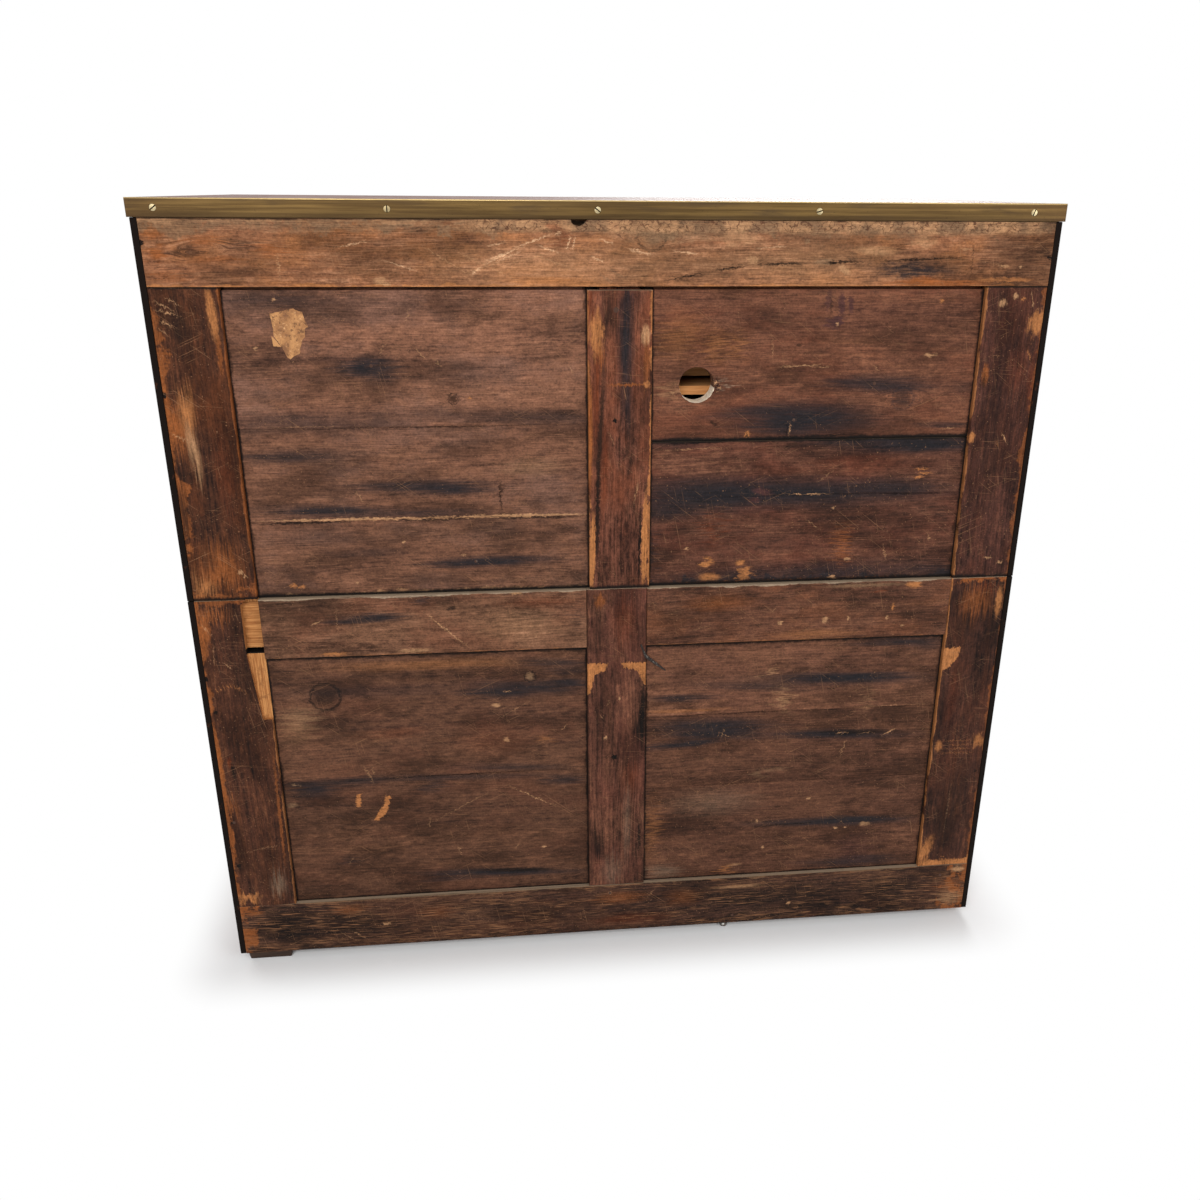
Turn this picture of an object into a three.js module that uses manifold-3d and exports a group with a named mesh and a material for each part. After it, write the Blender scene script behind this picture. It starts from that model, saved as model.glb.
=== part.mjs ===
// A two-part campaign chest: an upper case that lifts off a lower one, both with framed and panelled backs.
// Millimetres, +Z up. The drawers face -Y and the back faces +Y. Left and right are as seen from the front,
// so left is -X. The origin is on the floor, under the middle of the chest.
import * as THREE from 'three';
import { mergeVertices } from 'three/addons/utils/BufferGeometryUtils.js';
import Module from 'manifold-3d';

const wasm = await Module();
wasm.setup();

// The cases.
const caseWidth = 1000;
const caseDepth = 457;
const footHeight = 13.5;
const lowerCaseHeight = 500;
const upperCaseHeight = 420;
const seamGap = 0.8;
const boardThickness = 19;
const topThickness = 19;
const housingDepth = 6;
const fitGap = 0.3;

// The brass edging round the top board.
const edgingThickness = 2;
const edgingHeight = 19;
const edgingArris = 0.8;

// The back frames, and the panels held in their grooves.
const frameThickness = 28;
const frameLip = 7;
const stileWidth = 71.5;
const upperMuntinWidth = 72;
const upperMuntinShift = -3.5;
const lowerMuntinWidth = 73.2;
const lowerMuntinShift = -0.3;
const upperRailHeight = 69;
const lowerRailHeight = 75.6;
const lowerRailDrop = 0.5;
const bottomRailHeight = 73.7;
const frameTenonThickness = 10;
const frameTenonLength = 30;
const frameTenonWidth = 44;
const railTenonLength = 21;
const railTenonHeight = 57.7;
const railTenonRise = 12.5;
const mortiseSlack = 4.5;
const panelInset = 6;
const panelThickness = 22;
const panelTongueThickness = 8;
const panelTongueLength = 8;
const upperPanelHeadGap = 3.8;
const lowerPanelHeadGap = 2.4;
const boardJointWidth = 1.6;
const boardJointDepth = 1.2;

// Where the boards of each panel meet, as shares of the panel's height above its lower edge. The upper left one has
// come apart at its higher joint.
const panelJointShares = {
  upperLeft: [0.315, 0.51],
  upperRight: [0.262, 0.573],
  lowerLeft: [0.413, 0.714],
  lowerRight: [0.512],
};

// The cable hole in the upper left panel, from the middle of the chest and from the foot of the upper case.
const cableHoleDiameter = 40;
const cableHoleAcross = 92;
const cableHoleRise = 242;

// The broken corner of the lower right stile: a cheek lost in front of the tenon, and a split running down from it.
const brokenCheekWidth = 20.5;
const brokenCheekHeadWidth = 13;
const splitLength = 88;
const splitFootWidth = 11;
const splitDepth = 4.5;

// Openings for the drawers, and the dust frames between them.
const upperLongOpening = 198;
const bottomOpening = 231;
const dustRailHeight = 20;
const dustRailDepth = 60;
const dustBoardThickness = 10;
const dustBoardBackGap = 2;
const dividerThickness = 19;
const stopHeight = 5;
const stopDepth = 12;
const stopWidth = 38;
const stopInset = 60;

// Drawers.
const drawerSideGap = 1;
const drawerTopGap = 1.2;
const drawerBackGap = 22;
const frontThickness = 20;
const drawerSideThickness = 11;
const drawerBackThickness = 10;
const drawerBottomThickness = 7;
const drawerBottomRise = 8;
const drawerSideDrop = 4;
const drawerBackDrop = 8;
const bottomTongueLength = 6;
const tailLength = 13;
const tailRootHeight = 20;
const tailFlare = 4;
const tailPitch = 48;

// Flush drawer pulls: a plate let into the front, with a pan in which the bail hangs.
const plateWidth = 100;
const plateHeight = 58;
const plateRise = 0.8;
const plateCorner = 3;
const panWidth = 84;
const panHeight = 46;
const panDepth = 13.5;
const panCorner = 5;
const pullWire = 6;
const pullWidth = 72;
const pullDrop = 25;
const pullPinLength = 9.5;
const pullPivotRise = 13;
const pullPivotDepth = 4.4;
const pivotSlack = 0.6;
const longPullSpacing = 560;

// Side carrying handles: a plate with two ears, and a bail between them.
const handlePlateWidth = 118;
const handlePlateHeight = 44;
const handlePlateThickness = 2.6;
const handlePlateCorner = 5;
const earWidth = 7;
const earHeight = 14;
const earReach = 11;
const handleWire = 8;
const handleWidth = 84;
const handleDrop = 40;
const handleEarGap = 2.4;
const handleRiseShare = 0.64;

// Locating pegs between the cases, the feet and the glide.
const pegDiameter = 22;
const pegHeight = 14;
const pegSlack = 0.6;
const pegInset = 52;
const footSize = 57;
const footTaper = 4;
const footSideInset = 8.5;
const footEndInset = 3;
const glideDiameter = 11;
const glideNeck = 7;
const glideSpike = 3;
const glideSpikeLength = 9;
const glideDome = 4;
const glideFootShare = 0.6;
const glideEdgeShare = 0.4;
const glideInset = 13;
const glideAcross = 152;

// Round parts are many-sided; cuts run past what they cut.
const overrun = 1;
const cornerSides = 3;
const holeSides = 24;
const pivotSides = 12;
const wireSides = 8;
const wireSteps = 26;

// Places worked out from the sizes above.
const front = -caseDepth / 2;
const back = caseDepth / 2;
const halfWidth = caseWidth / 2;
const inside = halfWidth - boardThickness;
const frameEdge = halfWidth - frameLip - fitGap;
const frameFace = back - frameThickness;
const boardBack = frameFace - dustBoardBackGap;
const stileEdge = frameEdge - stileWidth;
const lowerBase = footHeight;
const upperBase = lowerBase + lowerCaseHeight + seamGap;
const pullBend = (panWidth - pullWidth) / 2;
const handleBend = handleEarGap + handleWire / 2;

const finishes = {
  polishedWood: new THREE.MeshStandardMaterial({ color: 0x6b3218, roughness: 0.35, metalness: 0 }),
  edgeWood: new THREE.MeshStandardMaterial({ color: 0x2a1a12, roughness: 0.6, metalness: 0 }),
  insideWood: new THREE.MeshStandardMaterial({ color: 0xa97b4c, roughness: 0.7, metalness: 0 }),
  stainedPine: new THREE.MeshStandardMaterial({ color: 0x563526, roughness: 0.8, metalness: 0 }),
  railPine: new THREE.MeshStandardMaterial({ color: 0x774c33, roughness: 0.8, metalness: 0 }),
  agedBrass: new THREE.MeshStandardMaterial({ color: 0x8a7440, roughness: 0.38, metalness: 1 }),
  dullSteel: new THREE.MeshStandardMaterial({ color: 0x8f9092, roughness: 0.5, metalness: 1 }),
};

// Turns a closed three.js geometry into a solid that can be cut and joined.
function toSolid(geometry) {
  geometry.deleteAttribute('normal');
  geometry.deleteAttribute('uv');
  const merged = mergeVertices(geometry);
  const vertProperties = new Float32Array(merged.attributes.position.array);
  const triVerts = new Uint32Array(merged.index.array);
  return new wasm.Manifold(new wasm.Mesh({ numProp: 3, vertProperties, triVerts }));
}

// Turns a solid back into a geometry.
function toGeometry(solid) {
  const mesh = solid.getMesh();
  const geometry = new THREE.BufferGeometry();
  geometry.setAttribute('position', new THREE.BufferAttribute(mesh.vertProperties, mesh.numProp));
  geometry.setIndex(new THREE.BufferAttribute(mesh.triVerts, 1));
  geometry.computeVertexNormals();
  return geometry;
}

// A named piece with its own finish.
function piece(name, solid, finish) {
  const mesh = new THREE.Mesh(toGeometry(solid), finish.clone());
  mesh.name = name;
  return mesh;
}

// A rectangular block between two places on each axis.
function block([x0, x1], [y0, y1], [z0, z1]) {
  const geometry = new THREE.BoxGeometry(x1 - x0, y1 - y0, z1 - z0);
  geometry.translate((x0 + x1) / 2, (y0 + y1) / 2, (z0 + z1) / 2);
  return toSolid(geometry);
}

// A shape drawn in X and Z, extruded along Y between two places.
function alongY(shape, [y0, y1], curveSegments = cornerSides) {
  const geometry = new THREE.ExtrudeGeometry(shape, { depth: y1 - y0, bevelEnabled: false, curveSegments });
  geometry.rotateX(Math.PI / 2);
  geometry.translate(0, y1, 0);
  return toSolid(geometry);
}

// A shape drawn in Y and Z, extruded along X between two places.
function alongX(shape, [x0, x1], curveSegments = cornerSides) {
  const geometry = new THREE.ExtrudeGeometry(shape, { depth: x1 - x0, bevelEnabled: false, curveSegments });
  geometry.applyMatrix4(new THREE.Matrix4().set(0, 0, 1, x0, 1, 0, 0, 0, 0, 1, 0, 0, 0, 0, 0, 1));
  return toSolid(geometry);
}

// A round bar along one axis, between two places on it, through a point given in X, Y and Z.
function bar(axis, [start, end], [x, y, z], diameter, sides) {
  const geometry = new THREE.CylinderGeometry(diameter / 2, diameter / 2, end - start, sides);
  const middle = (start + end) / 2;
  if (axis === 'x') {
    geometry.rotateZ(Math.PI / 2);
    geometry.translate(middle, y, z);
  } else if (axis === 'y') {
    geometry.translate(x, middle, z);
  } else {
    geometry.rotateX(Math.PI / 2);
    geometry.translate(x, y, middle);
  }
  return toSolid(geometry);
}

// A rectangle with round corners, about a middle point.
function roundedRectangle(width, height, corner, across, up) {
  const shape = new THREE.Shape();
  const right = across + width / 2;
  const left = across - width / 2;
  const top = up + height / 2;
  const bottom = up - height / 2;
  shape.moveTo(left + corner, bottom);
  shape.lineTo(right - corner, bottom);
  shape.absarc(right - corner, bottom + corner, corner, -Math.PI / 2, 0);
  shape.lineTo(right, top - corner);
  shape.absarc(right - corner, top - corner, corner, 0, Math.PI / 2);
  shape.lineTo(left + corner, top);
  shape.absarc(left + corner, top - corner, corner, Math.PI / 2, Math.PI);
  shape.lineTo(left, bottom + corner);
  shape.absarc(left + corner, bottom + corner, corner, Math.PI, 1.5 * Math.PI);
  return shape;
}

// An outline through a list of points.
function outline(points) {
  return new THREE.Shape(points.map(([across, up]) => new THREE.Vector2(across, up)));
}

// The same solid on the other side of the chest's middle plane.
function mirrored(solid) {
  return solid.mirror([1, 0, 0]);
}

function cutAll(solid, cutters) {
  return cutters.reduce((left, cutter) => left.subtract(cutter), solid);
}

function joinAll(solid, additions) {
  return additions.reduce((sum, addition) => sum.add(addition), solid);
}

// Places of the tenons and tongues in the thickness of a back frame.
const tenonFace = back - (frameThickness - frameTenonThickness) / 2;
const tenonDepths = [tenonFace - frameTenonThickness, tenonFace];
const mortiseDepths = [tenonDepths[0] - fitGap, tenonDepths[1] + fitGap];
const panelFace = back - panelInset;
const tongueFace = panelFace - (panelThickness - panelTongueThickness) / 2;
const tongueDepths = [tongueFace - panelTongueThickness, tongueFace];
const grooveDepths = [tongueDepths[0] - fitGap, tongueDepths[1] + fitGap];
const grooveDepth = panelTongueLength + 2 * fitGap;

// A case side: a board with a rebate behind for the frame, and housings for the boards that meet it.
function caseSide(height, housings) {
  const board = block([inside, halfWidth], [front, back], [0, height]);
  const rebate = block(
    [inside - overrun, halfWidth - frameLip],
    [frameFace - fitGap, back + overrun],
    [-overrun, height + overrun],
  );
  const slots = housings.map(([bottom, top, depth]) =>
    block(
      [inside - overrun, inside + housingDepth],
      [front - overrun, depth + fitGap],
      [bottom - fitGap, top + fitGap],
    ),
  );
  return cutAll(board, [rebate, ...slots]);
}

// A board across a case, let into housings in both sides.
function crossBoard(bottom, top, depth) {
  const reach = inside + housingDepth - fitGap;
  return block([-reach, reach], [front, depth], [bottom, top]);
}

// Blocks on a board that stop a drawer's front flush with the case.
function drawerStops(left, right, floor) {
  const start = front + frontThickness + fitGap;
  return [left + stopInset, right - stopInset - stopWidth].map((x) =>
    block([x, x + stopWidth], [start, start + stopDepth], [floor - overrun, floor + stopHeight]),
  );
}

// The front rail and the thinner dust board behind it, flush on top.
function dustFrame(top) {
  const reach = inside + housingDepth - fitGap;
  const rail = block([-reach, reach], [front, front + dustRailDepth], [top - dustRailHeight, top]);
  const board = block([-reach, reach], [front + dustRailDepth - overrun, boardBack], [top - dustBoardThickness, top]);
  return rail.add(board);
}

// Four places near the corners of a case, for the locating pegs.
function pegPlaces() {
  const x = inside - pegInset;
  return [
    [-x, front + pegInset],
    [x, front + pegInset],
    [-x, frameFace - pegInset],
    [x, frameFace - pegInset],
  ];
}

// A panel with a tongue all round: left, right, bottom and top are its visible edges on the back's face.
function panel({ left, right, bottom, top, footTongue, headTongue, joints }) {
  const body = block([left + fitGap, right - fitGap], [panelFace - panelThickness, panelFace], [bottom, top]);
  const tongue = block(
    [left - panelTongueLength, right + panelTongueLength],
    tongueDepths,
    [bottom - footTongue, top + headTongue],
  );
  const lines = joints.map((share) => {
    const up = bottom + (top - bottom) * share;
    const vee = outline([
      [panelFace + overrun, up + boardJointWidth / 2],
      [panelFace, up + boardJointWidth / 2],
      [panelFace - boardJointDepth, up],
      [panelFace, up - boardJointWidth / 2],
      [panelFace + overrun, up - boardJointWidth / 2],
    ]);
    return alongX(vee, [left - overrun, right + overrun]);
  });
  return cutAll(body.add(tongue), lines);
}

// The part of a panel between two heights, where its boards have come apart.
function boardsBetween(solid, bottom, top) {
  return solid.intersect(block([-halfWidth, halfWidth], [frameFace - overrun, back], [bottom, top]));
}

// A groove for a panel's tongue up the edge of an upright, open towards the panel.
function edgeGroove(edge, inward, [bottom, top]) {
  const reach = edge + inward * grooveDepth;
  const open = edge - inward * overrun;
  return block([Math.min(reach, open), Math.max(reach, open)], grooveDepths, [bottom, top]);
}

// A slot in the width of an upright for a rail's tenon.
function railMortise(edge, inward, bottom, top) {
  const reach = edge + inward * (railTenonLength + fitGap);
  const open = edge - inward * overrun;
  return block([Math.min(reach, open), Math.max(reach, open)], mortiseDepths, [bottom, top]);
}

// The upper case's back: rail over two stiles and a muntin, with a panel in each bay.
function upperBack() {
  const railFoot = upperCaseHeight - upperRailHeight;
  const uprightTop = railFoot - fitGap;
  const muntinLeft = upperMuntinShift - upperMuntinWidth / 2;
  const muntinRight = upperMuntinShift + upperMuntinWidth / 2;
  const tenonAt = (middle) => [middle - frameTenonWidth / 2, middle + frameTenonWidth / 2];
  const mortiseAt = (middle) => [middle - frameTenonWidth / 2 - fitGap, middle + frameTenonWidth / 2 + fitGap];
  const stileMiddle = (frameEdge + stileEdge) / 2;
  const tenonTop = railFoot + frameTenonLength;
  const mortises = [-stileMiddle, upperMuntinShift, stileMiddle].map((middle) =>
    block(mortiseAt(middle), mortiseDepths, [railFoot - overrun, tenonTop + fitGap]),
  );
  const railGrooves = [
    [-stileEdge - grooveDepth, muntinLeft + grooveDepth],
    [muntinRight - grooveDepth, stileEdge + grooveDepth],
  ].map((reach) => block(reach, grooveDepths, [railFoot - overrun, railFoot + grooveDepth]));
  const railBlock = block([-frameEdge, frameEdge], [frameFace, back], [railFoot, upperCaseHeight - fitGap]);
  const rail = cutAll(railBlock, [...mortises, ...railGrooves]);

  const stileBlock = block([stileEdge, frameEdge], [frameFace, back], [0, uprightTop]);
  const stileTenon = block(tenonAt(stileMiddle), tenonDepths, [uprightTop - overrun, tenonTop]);
  const stileGroove = edgeGroove(stileEdge, 1, [-overrun, uprightTop + overrun]);
  const stile = stileBlock.add(stileTenon).subtract(stileGroove);

  const muntinTop = railFoot - upperPanelHeadGap;
  const muntinBlock = block([muntinLeft, muntinRight], [frameFace, back], [0, muntinTop]);
  const muntinTenon = block(tenonAt(upperMuntinShift), tenonDepths, [muntinTop - overrun, tenonTop]);
  const muntin = cutAll(muntinBlock.add(muntinTenon), [
    edgeGroove(muntinLeft, 1, [-overrun, muntinTop + overrun]),
    edgeGroove(muntinRight, -1, [-overrun, muntinTop + overrun]),
  ]);

  const bay = {
    bottom: 0,
    top: muntinTop,
    footTongue: 0,
    headTongue: upperPanelHeadGap + panelTongueLength,
  };
  const leftBay = { ...bay, left: -stileEdge, right: muntinLeft, joints: panelJointShares.upperLeft };
  const rightBay = { ...bay, left: muntinRight, right: stileEdge, joints: panelJointShares.upperRight };
  const hole = bar(
    'y',
    [panelFace - panelThickness - overrun, panelFace + overrun],
    [-cableHoleAcross, 0, cableHoleRise],
    cableHoleDiameter,
    holeSides,
  );
  const leftPanel = panel(leftBay);
  const leftCrack = muntinTop * panelJointShares.upperLeft[1];
  const lowBoards = boardsBetween(leftPanel, -overrun, leftCrack - fitGap / 2);
  const holeBoard = boardsBetween(leftPanel, leftCrack + fitGap / 2, upperCaseHeight).subtract(hole);
  return [
    piece('upper_back_rail', rail, finishes.railPine),
    piece('upper_back_stile_left', mirrored(stile), finishes.stainedPine),
    piece('upper_back_stile_right', stile, finishes.stainedPine),
    piece('upper_back_muntin', muntin, finishes.stainedPine),
    piece('upper_back_panel_left', lowBoards, finishes.stainedPine),
    piece('upper_back_board_left', holeBoard, finishes.stainedPine),
    piece('upper_back_panel_right', panel(rightBay), finishes.stainedPine),
  ];
}

// What is lost from the broken stile: the cheek in front of the rail's tenon, and the split below it.
function brokenCorner(mortiseFoot) {
  const cheekDepth = back - mortiseDepths[1];
  const cheek = outline([
    [stileEdge - overrun, mortiseFoot],
    [stileEdge + brokenCheekWidth, mortiseFoot],
    [stileEdge + brokenCheekWidth, lowerCaseHeight - brokenCheekHeadWidth / 2],
    [stileEdge + brokenCheekHeadWidth, lowerCaseHeight + overrun],
    [stileEdge - overrun, lowerCaseHeight + overrun],
  ]);
  const split = outline([
    [stileEdge - overrun, mortiseFoot - splitLength],
    [stileEdge + splitFootWidth, mortiseFoot - splitLength],
    [stileEdge + brokenCheekWidth, mortiseFoot + overrun],
    [stileEdge - overrun, mortiseFoot + overrun],
  ]);
  return [
    alongY(cheek, [back - cheekDepth - overrun, back + overrun]),
    alongY(split, [back - splitDepth, back + overrun]),
  ];
}

// The lower case's back: stiles and muntin between a full bottom rail and two short top rails.
function lowerBack() {
  const railTop = lowerCaseHeight - lowerRailDrop;
  const railFoot = railTop - lowerRailHeight;
  const uprightFoot = bottomRailHeight + fitGap;
  const muntinLeft = lowerMuntinShift - lowerMuntinWidth / 2;
  const muntinRight = lowerMuntinShift + lowerMuntinWidth / 2;
  const stileMiddle = (frameEdge + stileEdge) / 2;
  const middles = [-stileMiddle, lowerMuntinShift, stileMiddle];
  const tenonFoot = bottomRailHeight - frameTenonLength;
  const tenonAt = (middle) => [middle - frameTenonWidth / 2, middle + frameTenonWidth / 2];
  const mortises = middles.map((middle) => {
    const [left, right] = tenonAt(middle);
    return block([left - fitGap, right + fitGap], mortiseDepths, [tenonFoot - fitGap, bottomRailHeight + overrun]);
  });
  const railGrooves = [
    [-stileEdge - grooveDepth, muntinLeft + grooveDepth],
    [muntinRight - grooveDepth, stileEdge + grooveDepth],
  ].map((reach) => block(reach, grooveDepths, [bottomRailHeight - grooveDepth, bottomRailHeight + overrun]));
  const spikeHole = bar(
    'z',
    [-overrun, glideSpikeLength + fitGap],
    [-glideAcross, back - glideInset, 0],
    glideSpike + 2 * fitGap,
    pivotSides,
  );
  const bottomRailBlock = block([-frameEdge, frameEdge], [frameFace, back], [0, bottomRailHeight]);
  const bottomRail = cutAll(bottomRailBlock, [...mortises, ...railGrooves, spikeHole]);

  const tenonBottom = railFoot + railTenonRise;
  const tenonTop = tenonBottom + railTenonHeight;
  const mortiseFoot = tenonBottom - mortiseSlack;
  const mortiseHead = tenonTop + fitGap;
  const heights = [uprightFoot - overrun, railTop];
  const footTenon = (middle) => block(tenonAt(middle), tenonDepths, [tenonFoot, uprightFoot + overrun]);
  const stileBlock = block([stileEdge, frameEdge], [frameFace, back], [uprightFoot, lowerCaseHeight]);
  const stile = cutAll(stileBlock.add(footTenon(stileMiddle)), [
    edgeGroove(stileEdge, 1, heights),
    railMortise(stileEdge, 1, mortiseFoot, mortiseHead),
  ]);
  const muntinBlock = block([muntinLeft, muntinRight], [frameFace, back], [uprightFoot, lowerCaseHeight]);
  const muntin = cutAll(muntinBlock.add(footTenon(lowerMuntinShift)), [
    edgeGroove(muntinLeft, 1, heights),
    edgeGroove(muntinRight, -1, heights),
    railMortise(muntinLeft, 1, mortiseFoot, mortiseHead),
    railMortise(muntinRight, -1, mortiseFoot, mortiseHead),
  ]);

  const topRail = (left, right) => {
    const body = block([left + fitGap, right - fitGap], [frameFace, back], [railFoot, railTop]);
    const tenons = block([left - railTenonLength, right + railTenonLength], tenonDepths, [tenonBottom, tenonTop]);
    const groove = block([left, right], grooveDepths, [railFoot - overrun, railFoot + grooveDepth]);
    return body.add(tenons).subtract(groove);
  };
  const bay = {
    bottom: bottomRailHeight + fitGap,
    top: railFoot - lowerPanelHeadGap,
    footTongue: panelTongueLength,
    headTongue: lowerPanelHeadGap + panelTongueLength,
  };
  const leftBay = { ...bay, left: -stileEdge, right: muntinLeft, joints: panelJointShares.lowerLeft };
  const rightBay = { ...bay, left: muntinRight, right: stileEdge, joints: panelJointShares.lowerRight };
  return [
    piece('lower_back_bottom_rail', bottomRail, finishes.stainedPine),
    piece('lower_back_stile_left', mirrored(stile), finishes.stainedPine),
    piece('lower_back_stile_right', cutAll(stile, brokenCorner(mortiseFoot)), finishes.stainedPine),
    piece('lower_back_muntin', muntin, finishes.stainedPine),
    piece('lower_back_rail_left', topRail(-stileEdge, muntinLeft), finishes.railPine),
    piece('lower_back_rail_right', topRail(muntinRight, stileEdge), finishes.railPine),
    piece('lower_back_panel_left', panel(leftBay), finishes.stainedPine),
    piece('lower_back_panel_right', panel(rightBay), finishes.stainedPine),
  ];
}

// The polished top board and the brass strips round its edge.
function caseTop() {
  const board = block(
    [-halfWidth + fitGap, halfWidth - fitGap],
    [front + fitGap, back - fitGap],
    [upperCaseHeight, upperCaseHeight + topThickness],
  );
  const foot = upperCaseHeight + topThickness - edgingHeight;
  const head = foot + edgingHeight;
  const strip = (face) => {
    const shape = new THREE.Shape();
    shape.moveTo(face, foot);
    shape.lineTo(face + edgingThickness, foot);
    shape.lineTo(face + edgingThickness, head - edgingArris);
    shape.absarc(face + edgingThickness - edgingArris, head - edgingArris, edgingArris, 0, Math.PI / 2);
    shape.lineTo(face, head);
    return shape;
  };
  const reach = halfWidth + edgingThickness;
  const rear = alongX(strip(back), [-reach, reach]);
  const frontStrip = alongX(strip(-front), [-reach, reach]).mirror([0, 1, 0]);
  const right = alongY(strip(halfWidth), [front + fitGap, back - fitGap]);
  return [
    piece('top_board', board, finishes.polishedWood),
    piece('edging_rear', rear, finishes.agedBrass),
    piece('edging_front', frontStrip, finishes.agedBrass),
    piece('edging_left', mirrored(right), finishes.agedBrass),
    piece('edging_right', right, finishes.agedBrass),
  ];
}

// A bail: a wire bent to a U that hangs below its pivot, with its ends turned outwards as pins.
function bail(width, drop, pin, bend, wire) {
  const half = width / 2;
  const path = new THREE.CurvePath();
  const line = (a, b) => path.add(new THREE.LineCurve3(a, b));
  const at = (x, z) => new THREE.Vector3(x, 0, z);
  const curve = (a, corner, b) => path.add(new THREE.QuadraticBezierCurve3(a, corner, b));
  line(at(-half - pin, 0), at(-half - bend, 0));
  curve(at(-half - bend, 0), at(-half, 0), at(-half, -bend));
  line(at(-half, -bend), at(-half, bend - drop));
  curve(at(-half, bend - drop), at(-half, -drop), at(bend - half, -drop));
  line(at(bend - half, -drop), at(half - bend, -drop));
  curve(at(half - bend, -drop), at(half, -drop), at(half, bend - drop));
  line(at(half, bend - drop), at(half, -bend));
  curve(at(half, -bend), at(half, 0), at(half + bend, 0));
  line(at(half + bend, 0), at(half + pin, 0));
  const section = new THREE.Shape();
  for (let side = 0; side < wireSides; side += 1) {
    const turn = (2 * Math.PI * side) / wireSides;
    const point = [Math.cos(turn) * wire / 2, Math.sin(turn) * wire / 2];
    if (side === 0) section.moveTo(...point);
    else section.lineTo(...point);
  }
  return toSolid(new THREE.ExtrudeGeometry(section, { steps: wireSteps, extrudePath: path, bevelEnabled: false }));
}

// Cuts a pull's pan and pivot holes into a drawer front, under a plate that stands a little proud.
function fitPull(frontSolid, across, up) {
  const plate = alongY(
    roundedRectangle(plateWidth, plateHeight, plateCorner, across, up),
    [front - plateRise, front + overrun],
  );
  const pan = alongY(
    roundedRectangle(panWidth, panHeight, panCorner, across, up),
    [front - plateRise - overrun, front + panDepth],
  );
  const pinReach = pullWidth / 2 + pullPinLength + fitGap;
  const pivots = bar(
    'x',
    [across - pinReach, across + pinReach],
    [0, front + pullPivotDepth, up + pullPivotRise],
    pullWire + 2 * pivotSlack,
    pivotSides,
  );
  return cutAll(frontSolid.add(plate), [pan, pivots]);
}

// The heights of the dovetails on a drawer's corner, spread evenly between two heights.
function tailMiddles(bottom, top) {
  const count = Math.max(2, Math.floor((top - bottom) / tailPitch));
  const pitch = (top - bottom) / count;
  return Array.from({ length: count }, (_, index) => bottom + pitch * index + pitch / 2);
}

// One dovetail, seen from the drawer's side, grown all round by a slack.
function tail(middle, slack) {
  const root = front + frontThickness + fitGap;
  const tip = front + frontThickness - tailLength;
  return outline([
    [root + slack + overrun, middle - tailRootHeight / 2 - slack],
    [root, middle - tailRootHeight / 2 - slack],
    [tip - slack, middle - tailRootHeight / 2 - tailFlare - slack],
    [tip - slack, middle + tailRootHeight / 2 + tailFlare + slack],
    [root, middle + tailRootHeight / 2 + slack],
    [root + slack + overrun, middle + tailRootHeight / 2 + slack],
  ]);
}

// A drawer in the opening between two places across and two up: its front, its box and its pulls' bails.
function drawer(name, [openLeft, openRight], [floor, ceiling], pulls) {
  const left = openLeft + drawerSideGap;
  const right = openRight - drawerSideGap;
  const height = ceiling - floor - drawerTopGap - fitGap;
  const group = new THREE.Group();
  group.position.set(0, 0, floor + fitGap);
  const boxFront = front + frontThickness + fitGap;
  const boxBack = boardBack - drawerBackGap;
  const bottomTop = drawerBottomRise + drawerBottomThickness;
  const sideTop = height - drawerSideDrop;
  const middles = tailMiddles(bottomTop, sideTop);
  const sideBands = [
    [left, left + drawerSideThickness],
    [right - drawerSideThickness, right],
  ];
  const tails = sideBands.flatMap((band) => middles.map((middle) => alongX(tail(middle, 0), band)));
  const sockets = sideBands.flatMap(([from, to], index) => {
    const cut = index === 0 ? [from - overrun, to + fitGap] : [from - fitGap, to + overrun];
    return middles.map((middle) => alongX(tail(middle, fitGap), cut));
  });
  const hollow = [left + drawerSideThickness, right - drawerSideThickness];

  const frontBoard = block([left, right], [front, front + frontThickness], [0, height]);
  const bottomGroove = block(
    [hollow[0] - fitGap, hollow[1] + fitGap],
    [front + frontThickness - bottomTongueLength - fitGap, front + frontThickness + overrun],
    [drawerBottomRise - fitGap, bottomTop + fitGap],
  );
  const up = height / 2;
  const drawerFront = pulls.reduce(
    (solid, { across }) => fitPull(solid, across, up),
    cutAll(frontBoard, [...sockets, bottomGroove]),
  );

  const shell = block([left, right], [boxFront, boxBack], [0, sideTop]);
  const inner = block(hollow, [boxFront - overrun, boxBack - drawerBackThickness], [bottomTop, sideTop + overrun]);
  const under = block(hollow, [boxFront - overrun, boxBack + overrun], [-overrun, drawerBottomRise]);
  const backTop = block(
    hollow,
    [boxBack - drawerBackThickness - overrun, boxBack + overrun],
    [sideTop - drawerBackDrop, sideTop + overrun],
  );
  const tongue = block(
    hollow,
    [front + frontThickness - bottomTongueLength, boxFront + overrun],
    [drawerBottomRise, bottomTop],
  );
  const box = joinAll(cutAll(shell, [inner, under, backTop]), [tongue, ...tails]);

  group.add(piece(`${name}_front`, drawerFront, finishes.polishedWood));
  group.add(piece(`${name}_box`, box, finishes.insideWood));
  pulls.forEach(({ suffix, across }) => {
    const wire = piece(
      `${name}_bail${suffix}`,
      bail(pullWidth, pullDrop, pullPinLength, pullBend, pullWire),
      finishes.agedBrass,
    );
    wire.position.set(across, front + pullPivotDepth, up + pullPivotRise);
    group.add(wire);
  });
  return group;
}

// Places of the two pulls on a long drawer.
const pairOfPulls = [
  { suffix: '_left', across: -longPullSpacing / 2 },
  { suffix: '_right', across: longPullSpacing / 2 },
];

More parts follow.
